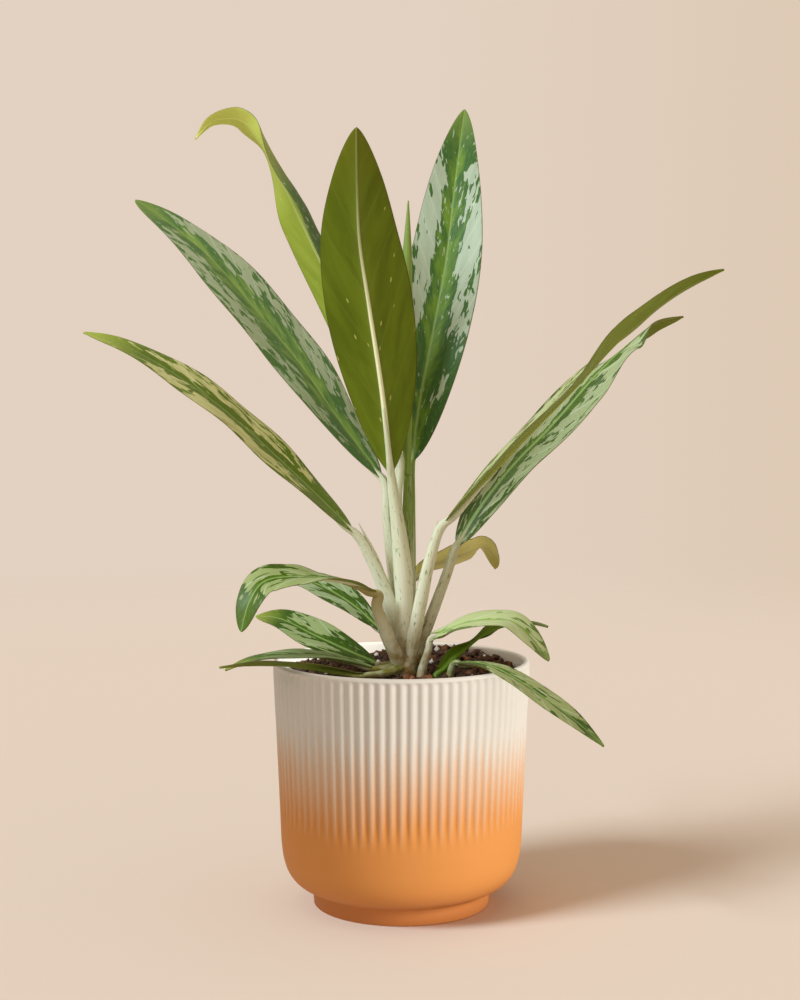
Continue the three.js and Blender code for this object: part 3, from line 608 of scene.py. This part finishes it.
@surface(Roughness=0.45, IOR=1.42, **{
    "Subsurface Weight": 0.1, "Subsurface Radius": (1, 0.8, 0.4), "Subsurface Scale": 0.002})
def stalk_skin(add):
    """Fleshy petiole skin: smooth and waxy, cream with green stripes above and short brown and green dashes."""
    mark = add("Attribute", attribute_name="stalk", out="Vector")
    reach, front, side = add("SeparateXYZ", mark).node.outputs
    tint = add("Attribute", attribute_name="tint", out="Vector")
    height, flush, tan = add("SeparateXYZ", tint).node.outputs
    place = add("TexCoord", out="Object")

    def wrapped(lengthwise, around, offset):
        spot = add("CombineXYZ", add("Math MULTIPLY", reach, lengthwise),
                   add("Math MULTIPLY", front, around), add("Math MULTIPLY_ADD", side, around, offset))
        return add("TexNoise", spot, Scale=1, Detail=3, Roughness=0.6)

    dashes = wrapped(0.2, 3.6, 0)
    stripes = wrapped(0.02, 4, 9)
    lines = wrapped(0.04, 12, 5)
    channel = add("MapRange", front, 0.35, 0.95)
    level = add("Math MULTIPLY_ADD", channel, 0.10, dashes)
    brown = add("MapRange", level, 0.69, 0.73, 0, 0.75)
    green = add("MapRange", level, 0.60, 0.66, 0, 0.6)
    stripe = add("MapRange", stripes, 0.40, 0.62, 0, 0.35)
    rise = add("MapRange", height, 160, 235)
    flushed = add("Math MULTIPLY", rise, flush)
    streaked = add("Math MULTIPLY", flushed, add("MapRange", stripes, 0.36, 0.56, 0.5, 1), use_clamp=True)
    solid = add("Math SUBTRACT", flush, 2, use_clamp=True)
    # Brown at the foot of the stalks, where they crowd above the soil: partly their papery sheaths, partly
    # painted shade
    foot = add("MapRange", height, 172, 142, 0, 0.9)
    blotch = add("TexNoise", place, Scale=150, Detail=3)
    foot_sheath_and_shade = add("Math MULTIPLY", foot, add("MapRange", blotch, 0.35, 0.65, 0.35, 1.3), use_clamp=True)
    inner = add("Math MULTIPLY", channel, 0.3)
    colour = layered(add, "#DFDEC2", [
        (stripe, "#C9CFB2"), (inner, "#B9A87C"), (foot_sheath_and_shade, "#8C7034"), (tan, "#A2925A"),
        (streaked, "#7F9A3E"), (green, "#6E8A3C"), (brown, "#5B4524"), (solid, "#5C7C18")])
    return {"Base Color": colour, "Normal": relief(add, lines, 0.10)}


def tube(points, radii, inward, rows, sides=20, flat=1, groove=1, flush=0.2, tan=0):
    """Closed stalk along points: round, with a shallow groove edged by two low ridges on the side inward."""
    path = points if isinstance(points, Path) else Path(points)

    def place(u, v):
        turn = 2 * math.pi * v - math.pi
        along = path.along(min(max(u, 0.01), 0.99))
        up = (inward - along * inward.dot(along)).normalized()
        side = along.cross(up)
        dent = CHANNEL[0] * math.exp(-((turn / CHANNEL[1]) ** 2))
        dent -= RIDGE[0] * math.exp(-(((abs(turn) - RIDGE[1]) / RIDGE[2]) ** 2))
        radius = spread(radii, u) * (1 - groove * dent)
        return path.at(u) + radius * (flat * math.cos(turn) * up + math.sin(turn) * side)

    def marks(u, v):
        turn = 2 * math.pi * v - math.pi
        return {"stalk": (u * path.length, math.cos(turn), math.sin(turn)),
                "tint": (path.at(u).z, flush, tan * between(*TAN_RISE, u))}

    bm = grid_sheet(rows, sides, place, marks)
    bmesh.ops.remove_doubles(bm, verts=bm.verts, dist=0.002)
    bmesh.ops.holes_fill(bm, edges=[edge for edge in bm.edges if edge.is_boundary], sides=0)
    bmesh.ops.recalc_face_normals(bm, faces=bm.faces)
    return bm


def leaf_stalk(leaf):
    """Stalk that runs on under the blade and thins out into the raised midrib."""
    rib = Path(leaf.rib)
    lean = Vector(rib.at(0.1) - rib.at(0)).to_2d().normalized()
    inward = Vector((-lean.x, -lean.y, 1)).normalized()
    points = [*leaf.stalk, rib.at(0) - rib.along(0) * STALK_TURN]
    before = Path(points).length
    for share in RIB_PLACES:
        along = rib.along(share)
        up = facing(leaf.face or [(0, *inward)], share)
        up = (up - along * up.dot(along)).normalized()
        points.append(rib.at(share) - up * 1.5)
    path = Path(points)
    top = before / path.length
    end = leaf.radius[-1]

    def radius(share):
        if share < top:
            return spread(leaf.radius, share / top)
        return end + (RIB_END - end) * min(1, 1.15 * (share - top) / (1 - top)) ** 0.8

    radii = [radius(i / 60) for i in range(61)]
    return tube(path, radii, inward, rows=90, flush=leaf.look.flush, tan=leaf.look.tan)


def make_stalks():
    """Joins the stalks that share the stem into one piece, and makes each stalk that rises by itself."""
    skin = stalk_skin("stalk_skin")
    cluster = bmesh.new()
    for leaf in [*LEAVES.values(), SPEAR]:
        if not leaf.own:
            join_into(cluster, leaf_stalk(leaf))
        if leaf.sheath:
            lean = Vector(leaf.sheath[-1]) - Vector(leaf.sheath[0])
            inward = Vector((-lean.x, -lean.y, 0)).normalized()
            join_into(cluster, tube(leaf.sheath, SHEATH_RADIUS, inward, rows=40, flat=0.6, groove=0))
    column = tube(STEM_RISE, STEM_RADII, Vector((1, 0, 0)), rows=40, sides=32, flat=STEM_FLATNESS, groove=0)
    join_into(cluster, column)
    make_piece("stem_cluster", cluster, [skin], "main_stem")
    for name, leaf in LEAVES.items():
        if leaf.own:
            node = name.replace("leaf", "stalk")
            make_piece(node + "_skin", leaf_stalk(leaf), [skin], node)


# Leaves

def vein_places(add, slope):
    """Places on a blade: shares reach along and edge out, then millimetres out, across and lead.

    lead stays the same along each side vein.
    """
    def read(name):
        return add("SeparateXYZ", add("Attribute", attribute_name=name, out="Vector")).node.outputs

    along, across, _ = read("blade")
    reach, edge, _ = read("share")
    out = add("Math ABSOLUTE", across)
    lead = add("Math MULTIPLY_ADD", out, -slope, along)
    return reach, edge, out, across, lead


def patches(add, lead, out, width, length, seed, **noise_settings):
    """Noise with patches about width by length millimetres, drawn out along the side veins."""
    place = add("CombineXYZ", add("Math MULTIPLY", lead, 1 / (2.4 * width)),
                add("Math MULTIPLY", out, 2.4 / length), seed)
    return add("TexNoise", place, Scale=1, **noise_settings)


@surface(IOR=1.42, **FLESH, **{"Specular IOR Level": 0.28, "Subsurface Weight": 0.06})
def blade_upper(add, look):
    """Upper face of a living leaf: waxy cuticle, silver with green lobes along the rib and short dashes."""
    reach, edge, out, across, lead = vein_places(add, VEIN_LEAN)
    hand = add("Math SIGN", across)
    seed = add("Math MULTIPLY_ADD", hand, 7.3, look.seed)
    lobes = patches(add, lead, out, 7, 18, seed, Detail=1.5, Distortion=0.4)
    flecks = patches(add, lead, out, 3.6, 6, seed, Detail=1.6, Roughness=0.5, Distortion=0.7)
    zone = add("MapRange", edge, 0, 2 * look.zone, 0.54, -0.11)
    rim = add("MapRange", edge, 0.70, 1, 0, 0.13)
    tip = add("MapRange", reach, look.tip - 0.12, look.tip + 0.04, 0, 0.7)
    base = add("MapRange", reach, look.base + 0.16, look.base - 0.10, 0, 0.42)
    level = add("Math MULTIPLY_ADD", lobes, 1.3, zone)
    level = add("Math MULTIPLY_ADD", flecks, 1.4, level)
    for part in (rim, tip, base):
        level = add("Math ADD", level, part)
    level = add("Math SUBTRACT", level, 1.44 - look.marks)
    green = add("MapRange", level, 0, 0.04)
    speckle = patches(add, lead, out, 1.6, 3.6, seed, Detail=1)
    lit = add("MapRange", speckle, 0.69, 0.71, 0, 0.7)
    green = add("Math SUBTRACT", green, lit, use_clamp=True)
    tone = patches(add, lead, out, 5, 16, add("Math ADD", seed, 3.1), Detail=2)
    heart = add("MapRange", add("Math MULTIPLY_ADD", edge, 0.55, tone), 0.45, 0.72)
    veins = add("Math COSINE", add("Math MULTIPLY", lead, 2 * math.pi / VEIN_GAP))
    vein = add("MapRange", veins, 0.9, 1, 0, 0.3)
    grain = patches(add, lead, out, 0.8, 3, seed, Detail=3)
    cloud = add("MapRange", tone, 0.35, 0.65, 0, 0.4)
    silver = layered(add, look.silver, [(cloud, look.shade), (vein, "#D4DFC8")])
    leafy = layered(add, look.green, [
        (heart, look.deep), (add("MapRange", grain, 0.5, 0.75, 0, 0.25), "#8FAE4E")])
    colour = layered(add, silver, [(green, leafy)])
    tipped = add("MapRange", reach, look.tip - 0.06, 1, 0, 0.85)
    rib_width = add("MapRange", reach, 0, 1, 0.95, 0.2)
    rib = add("MapRange", add("Math SUBTRACT", out, rib_width), 0.3, -0.25, 0, 0.8)
    margin = add("MapRange", edge, 0.965, 0.99, 0, 0.7)
    colour = layered(add, colour, [(tipped, look.tip_colour), (rib, look.rib), (margin, "#6A6238")])
    bump = add("Math MULTIPLY_ADD", veins, 0.35, grain)
    rough = add("MapRange", green, 0, 1, 0.5, 0.42)
    return {"Base Color": colour, "Roughness": rough, "Normal": relief(add, bump, 0.12)}


@surface(Roughness=0.6, IOR=1.38, **FLESH, **{"Specular IOR Level": 0.22, "Subsurface Weight": 0.05})
def blade_under(add, look):
    """Underside of a living leaf: duller olive with a cream rib, faint side veins and small pale specks."""
    reach, edge, out, across, lead = vein_places(add, UNDER_VEIN_LEAN)
    hand = add("Math SIGN", across)
    seed = add("Math MULTIPLY_ADD", hand, 4.7, look.seed)
    mottle = patches(add, lead, out, 9, 34, seed, Detail=3, Roughness=0.55, Distortion=0.4)
    speck_place = add("CombineXYZ", add("Math MULTIPLY", lead, 1 / 9), add("Math MULTIPLY", across, 1 / 5),
                      look.seed)
    specks = add("TexVoronoi", speck_place, Scale=1, Randomness=1)
    chosen = add("TexVoronoi", speck_place, Scale=1, Randomness=1, out="Color")
    veins = add("Math COSINE", add("Math MULTIPLY", lead, 2 * math.pi / UNDER_VEIN_GAP))
    vein = add("MapRange", veins, 0.95, 1, 0, 0.1)
    shade = add("MapRange", mottle, 0.36, 0.66, 0, 0.6)
    rib_width = add("MapRange", reach, 0, 1, 1.55, 0.2)
    rib = add("MapRange", add("Math SUBTRACT", out, rib_width), 0.3, -0.3)
    rib_fade = add("MapRange", reach, 0.45, 0.85, 1, 0.15)
    rib = add("Math MULTIPLY", rib, rib_fade)
    halo = add("MapRange", out, 6, 0.5, 0, 0.2)
    rare = add("MapRange", add("SeparateColor", chosen), 0.36, 0.38)
    speck = add("Math MULTIPLY", add("MapRange", specks, 0.13, 0.08, 0, 0.8), rare)
    margin = add("MapRange", edge, 0.965, 0.99, 0, 0.6)
    tipped = add("MapRange", reach, look.tip - 0.1, 1, 0, 0.7)
    colour = layered(add, look.under, [
        (shade, look.under_dark), (vein, "#8A9A3C"), (halo, "#8A9A3E"), (tipped, look.tip_colour),
        (speck, "#C6C762"), (rib, look.under_rib), (margin, "#54481C")])
    bump = add("Math MULTIPLY_ADD", veins, 0.4, mottle)
    return {"Base Color": colour, "Normal": relief(add, bump, 0.06)}


def blade_bmesh(leaf, sizes):
    """One closed blade: a grid laid over the rib, given its lower face, keel and thin margin by extrusion."""
    rib = Path(leaf.rib)
    power = math.log(0.5) / math.log(leaf.widest)
    curl_from, curl_to = leaf.span

    def reach_of(u):
        """Share of the rib's length. The rows crowd towards its ends."""
        return 0.5 * u + 0.25 * (1 - math.cos(math.pi * u))

    def across_of(v):
        """Share of the half width, from 1 to -1. The columns crowd towards the rib and the margins."""
        s = 2 * v - 1
        return math.copysign(1 - (1 - abs(s) ** COLUMN_CROWDING) ** COLUMN_CROWDING, -s)

    def width(reach):
        """Half width there, and the same as a share of the greatest without the least width."""
        shape = max(math.sin(math.pi * reach**power), 0) ** leaf.full
        least = leaf.neck if reach < 0.5 else TIP_HALF_WIDTH
        return max(leaf.half * shape, least), shape

    def place(u, v):
        reach, across = reach_of(u), across_of(v)
        share, hand = abs(across), (1 if across > 0 else -1)
        along = rib.along(min(max(reach, 0.01), 0.99))
        up = facing(leaf.face, reach)
        up = (up - along * up.dot(along)).normalized()
        side = along.cross(up)
        half, shape = width(reach)
        which = 0 if hand < 0 else 1
        fold = math.radians(leaf.fold[which])
        stretch = min(max((reach - curl_from) / (curl_to - curl_from), 0), 1)
        curl = math.radians(leaf.curl[which]) * max(math.sin(math.pi * stretch), 0) ** 0.5
        if abs(curl) < 1e-4:
            x, z = half * share * math.cos(fold), half * share * math.sin(fold)
        else:
            x = half * (math.sin(fold + curl * share) - math.sin(fold)) / curl
            z = half * (math.cos(fold) - math.cos(fold + curl * share)) / curl
        height, ripples = leaf.wave
        z += height * share**2 * shape * math.sin(2 * math.pi * (ripples * reach + RIPPLE_SHIFT * hand))
        lead = reach * rib.length - VEIN_LEAN * (half * share)
        z += sizes.quilting * shape * 4 * share * (1 - share) * abs(math.sin(math.pi * lead / VEIN_GAP))
        back = leaf.lobe * max(0, 1 - reach / LOBE_RUN) * max(0, 2 * share - 1)
        return rib.at(reach) + side * hand * x + up * z - along * back

    def marks(u, v):
        reach, across = reach_of(u), across_of(v)
        half, _ = width(reach)
        return {"blade": (reach * rib.length, across * half, 0), "share": (reach, abs(across), 0)}

    def key(spot):
        return tuple(round(c, 4) for c in spot)

    def half_thickness(share):
        return sizes.thickness / 2 * (1 - MARGIN_THINNING * share**6)

    bm = grid_sheet(int(LEAST_ROWS + rib.length / ROW_LENGTH), sizes.columns, place, marks)
    bm.normal_update()
    blade, shares = bm.verts.layers.float_vector["blade"], bm.verts.layers.float_vector["share"]
    upper = [(vert, vert.normal.copy()) for vert in bm.verts]
    normals = {key(vert.co): normal for vert, normal in upper}
    made = bmesh.ops.extrude_face_region(bm, geom=list(bm.faces), use_keep_orig=True)
    for item in made["geom"]:
        if isinstance(item, bmesh.types.BMFace):
            item.material_index = 1
        elif isinstance(item, bmesh.types.BMVert):
            reach, share, _ = item[shares]
            keel = sizes.keel + (KEEL_TIP - sizes.keel) * min(1, KEEL_FADE * reach)
            keel_half = KEEL_HALF_WIDTH * (1 - KEEL_NARROWING * reach)
            ridge = keel * max(0, 1 - (item[blade].y / keel_half) ** 2) ** 1.5
            item.co -= normals[key(item.co)] * (half_thickness(share) + ridge)
    for vert, normal in upper:
        reach, share, _ = vert[shares]
        groove = GROOVE_DEPTH * (1 - reach) * math.exp(-((vert[blade].y / GROOVE_HALF_WIDTH) ** 2))
        vert.co += normal * (half_thickness(share) - groove)
    bmesh.ops.recalc_face_normals(bm, faces=bm.faces)
    return bm


def make_leaves(sizes):
    """Makes every open leaf with its own pair of faces."""
    for name, leaf in LEAVES.items():
        faces = [blade_upper(name + "_upper", leaf.look), blade_under(name + "_under", leaf.look)]
        make_piece(name + "_blade", blade_bmesh(leaf, sizes), faces, name)


@surface(Roughness=0.42, IOR=1.42)
def rolled_leaf(add):
    """Young leaf tissue: smooth light green with darker lengthwise streaks and a pale rolled edge."""
    mark = add("Attribute", attribute_name="stalk", out="Vector")
    stripes = add("TexNoise", add("VectorMath MULTIPLY", mark, (0.03, 2.4, 2.4)), Scale=1, Detail=2)
    dark = add("MapRange", stripes, 0.42, 0.62, 0, 0.6)
    pale = add("MapRange", stripes, 0.6, 0.75, 0, 0.5)
    colour = layered(add, "#8CA448", [(dark, "#62802C"), (pale, "#BFCD7C")])
    return {"Base Color": colour, "Normal": relief(add, stripes, 0.1)}


def make_spear():
    """Makes the youngest leaf, a pointed roll with one edge lapped over the other."""
    bm = tube(SPEAR.rib, SPEAR.roll, Vector((0, 1, 0)), rows=80, sides=28, groove=0.9)
    make_piece("leaf_spear_roll", bm, [rolled_leaf("rolled_leaf")], "leaf_spear")


# Stage

def make_camera(stage):
    """Camera at the photograph's viewing angle."""
    data = bpy.data.cameras.new("camera")
    data.lens = stage.lens
    data.sensor_width = 36
    camera = bpy.data.objects.new("camera", data)
    camera.location = (-0.8 * MM, -stage.distance, stage.height)
    camera.rotation_euler = (math.radians(90) - stage.pitch, 0, 0)
    bpy.context.scene.collection.objects.link(camera)
    bpy.context.scene.camera = camera


def studio_paper(stage):
    """Seamless matt paper that fades into the backdrop's colour with distance."""
    made = bpy.data.materials.new("studio_paper")
    add = nodes_in(made)
    far = add("VectorMath LENGTH", add("TexCoord", out="Object"), out="Value")
    fade = add("MapRange", far, 0.75, 2.2, interpolation_type="SMOOTHSTEP")
    paper = add("BsdfPrincipled", Roughness=0.95, **{"Base Color": stage.paper, "Specular IOR Level": 0.1})
    add("OutputMaterial", add("MixShader", fade, paper, add("BsdfTransparent")))
    return made


def soft_sun(name, heading, strength, colour, softness):
    """Distant lamp that shines along heading, with soft shadows, on every object linked to it afterwards."""
    data = bpy.data.lights.new(name, "SUN")
    data.energy = strength
    data.angle = softness
    data.color = linear(colour)[:3]
    light = bpy.data.objects.new(name, data)
    light.rotation_euler = Vector(heading).to_track_quat("-Z", "Y").to_euler()
    bpy.context.scene.collection.objects.link(light)
    return light


def make_stage(stage):
    """Lays the floor and sets the soft light."""
    bm = bmesh.new()
    bmesh.ops.create_circle(bm, cap_ends=True, segments=96, radius=3)
    mesh = bpy.data.meshes.new("floor")
    bm.to_mesh(mesh)
    bm.free()
    mesh.materials.append(studio_paper(stage))
    floor = bpy.data.objects.new("floor", mesh)
    scene = bpy.context.scene
    scene.collection.objects.link(floor)
    scene.view_settings.view_transform = "Standard"
    scene.world = bpy.data.worlds.new("studio")
    add = nodes_in(scene.world)
    turn = add("SeparateXYZ", add("TexCoord", out="Generated"))
    side = add("MapRange", turn, 0.02, 0.24)
    seen = add("Background", layered(add, stage.backdrop, [(side, stage.backdrop_right)]), 1)
    glow = add("Background", stage.ambient, stage.ambient_strength)
    direct = add("LightPath", out="Is Camera Ray")
    add("OutputWorld", add("MixShader", direct, glow, seen))
    plant_key = soft_sun("plant_key", (0.70, 0.42, -0.60), stage.key, stage.key_colour, stage.softness)
    pot_key = soft_sun("pot_key", (-0.77, 0.48, -0.42), stage.pot_key, "#FFFCF6", stage.softness)
    pot = bpy.data.objects["pot_fluted"]
    others = [o for o in scene.objects if o.type == "MESH" and o is not pot]
    for light, lit in ((plant_key, others), (pot_key, [pot])):
        group = bpy.data.collections.new("lit_by_" + light.name)
        for member in lit:
            group.objects.link(member)
        light.light_linking.receiver_collection = group
    pot_key.light_linking.blocker_collection = group


def shade(name, default, about):
    """Property that holds an sRGB colour code."""
    return bpy.props.StringProperty(name=name, default=default, description=about)


def size(name, default, about, **limits):
    """Property that holds a length, an angle or a strength."""
    return bpy.props.FloatProperty(name=name, default=default, description=about, **limits)


def count(name, default, about, **limits):
    """Property that holds a whole number."""
    return bpy.props.IntProperty(name=name, default=default, description=about, **limits)


class EvergreenPot(bpy.types.PropertyGroup):
    """Sizes and colours of the pot and its soil."""

    flutes: count("Flutes", 80, "Upright flutes round the wall", min=12)
    flute_depth: size("Flute depth (mm)", 1.2, "Depth of the grooves between the flutes", min=0, max=2)
    ivory: shade("Ivory", "#CDCBC5", "Glaze on the upper part")
    # Painted light: the whiter colour painted on the inside wall stands in for the light that falls there
    inner: shade("Inner ivory", "#FFFFFC", "Thicker white glaze on the inside")
    peach: shade("Peach", "#D2B487", "Thin spray where the two glazes meet")
    orange: shade("Orange", "#CE8942", "Glaze on the lower part")
    # Painted shade: a darker orange painted round the foot, where the wall curves under towards the floor
    foot_shade_orange: shade("Deep orange", "#B36A33", "Thicker glaze round the foot")
    chips: count("Chips", 1500, "Pieces of bark on the soil", min=0)
    soil: shade("Soil", "#482F1A", "Fine part of the mix")
    bark: shade("Bark", "#84522E", "Red-brown bark chips")
    chip: shade("Chip edge", "#AC7E50", "Dry edges of the chips")
    perlite: shade("Perlite", "#E4DDD0", "White grains")


class EvergreenPlant(bpy.types.PropertyGroup):
    """Sizes of the leaf blades."""

    thickness: size("Blade thickness (mm)", 0.9, "Thickness of every blade", min=0.6, max=2)
    keel: size("Keel (mm)", 2.2, "Height of the raised midrib at the base", min=0, max=4)
    quilting: size("Quilting (mm)", 0.25, "How far the blade swells between side veins", min=0, max=1)
    columns: count("Columns", 40, "Mesh columns across a blade", min=8, max=80)


class EvergreenStage(bpy.types.PropertyGroup):
    """Camera, floor and light."""

    distance: size("Distance", 1.008, "Camera distance in front of the pot's middle", unit="LENGTH")
    height: size("Height", 0.299, "Camera height above the floor", unit="LENGTH")
    pitch: size("Pitch", math.radians(3.5), "Camera tilt below the horizon", subtype="ANGLE")
    lens: size("Lens (mm)", 62.28, "Focal length on a 36 mm long side")
    backdrop: shade("Backdrop", "#E3D1C1", "Colour seen behind the plant")
    backdrop_right: shade("Backdrop right", "#DDC9B4", "Its colour towards the right")
    paper: shade("Paper", "#E1CFBD", "Colour of the floor paper")
    ambient: shade("Ambient", "#FFEAD5", "Colour of the light from all round")
    ambient_strength: size("Ambient strength", 0.6, "Light all round")
    key: size("Key", 3.2, "Light on the plant and the floor, W/m2")
    key_colour: shade("Key colour", "#DFF1FF", "Colour of the light on the plant and the floor")
    pot_key: size("Pot key", 2.95, "Light on the pot, W/m2")
    softness: size("Softness", math.radians(22), "How wide the lamps seem", subtype="ANGLE")


class Evergreen(bpy.types.PropertyGroup):
    """All settings of the potted plant."""

    pot: bpy.props.PointerProperty(type=EvergreenPot, name="Pot", description="Pot and soil")
    plant: bpy.props.PointerProperty(type=EvergreenPlant, name="Plant", description="Leaf blades")
    stage: bpy.props.PointerProperty(type=EvergreenStage, name="Stage", description="Camera, floor and light")


class EVERGREEN_OT_camera(bpy.types.Operator):
    """Place the camera at the photograph's viewing angle"""

    bl_idname = "evergreen.camera"
    bl_label = "Camera"

    def execute(self, context):
        make_camera(context.scene.evergreen.stage)
        return {"FINISHED"}


class EVERGREEN_OT_pot(bpy.types.Operator):
    """Make the fluted pot"""

    bl_idname = "evergreen.pot"
    bl_label = "Pot"

    def execute(self, context):
        make_pot(context.scene.evergreen.pot)
        return {"FINISHED"}


class EVERGREEN_OT_soil(bpy.types.Operator):
    """Fill the pot with bark mix"""

    bl_idname = "evergreen.soil"
    bl_label = "Soil"

    def execute(self, context):
        make_soil(context.scene.evergreen.pot)
        return {"FINISHED"}


class EVERGREEN_OT_stalks(bpy.types.Operator):
    """Grow the stem and the leaf stalks"""

    bl_idname = "evergreen.stalks"
    bl_label = "Stalks"

    def execute(self, context):
        make_stalks()
        return {"FINISHED"}


class EVERGREEN_OT_leaves(bpy.types.Operator):
    """Grow the open leaves and the rolled young leaf"""

    bl_idname = "evergreen.leaves"
    bl_label = "Leaves"

    def execute(self, context):
        make_leaves(context.scene.evergreen.plant)
        make_spear()
        return {"FINISHED"}


class EVERGREEN_OT_stage(bpy.types.Operator):
    """Lay the floor and set the soft light"""

    bl_idname = "evergreen.stage"
    bl_label = "Stage"

    def execute(self, context):
        make_stage(context.scene.evergreen.stage)
        return {"FINISHED"}


class EVERGREEN_PT_panel(bpy.types.Panel):
    """Settings and steps of the potted plant"""

    bl_label = "Potted evergreen"
    bl_idname = "EVERGREEN_PT_panel"
    bl_space_type = "VIEW_3D"
    bl_region_type = "UI"
    bl_category = "Evergreen"

    def draw(self, context):
        settings = context.scene.evergreen
        for group in (settings.pot, settings.plant, settings.stage):
            box = self.layout.box()
            for name in group.__annotations__:
                box.prop(group, name)
        for operator in OPERATORS:
            self.layout.operator(operator.bl_idname)


GROUPS = (EvergreenPot, EvergreenPlant, EvergreenStage, Evergreen)
OPERATORS = (EVERGREEN_OT_camera, EVERGREEN_OT_pot, EVERGREEN_OT_soil, EVERGREEN_OT_stalks, EVERGREEN_OT_leaves,
             EVERGREEN_OT_stage)


def register():
    for item in (*GROUPS, *OPERATORS, EVERGREEN_PT_panel):
        bpy.utils.register_class(item)
    bpy.types.Scene.evergreen = bpy.props.PointerProperty(type=Evergreen)


def unregister():
    del bpy.types.Scene.evergreen
    for item in reversed((*GROUPS, *OPERATORS, EVERGREEN_PT_panel)):
        bpy.utils.unregister_class(item)


def main():
    register()
    bpy.ops.evergreen.camera()
    bpy.ops.evergreen.pot()
    bpy.ops.evergreen.soil()
    bpy.ops.evergreen.stalks()
    bpy.ops.evergreen.leaves()
    bpy.ops.evergreen.stage()


if __name__ == "__main__":
    main()
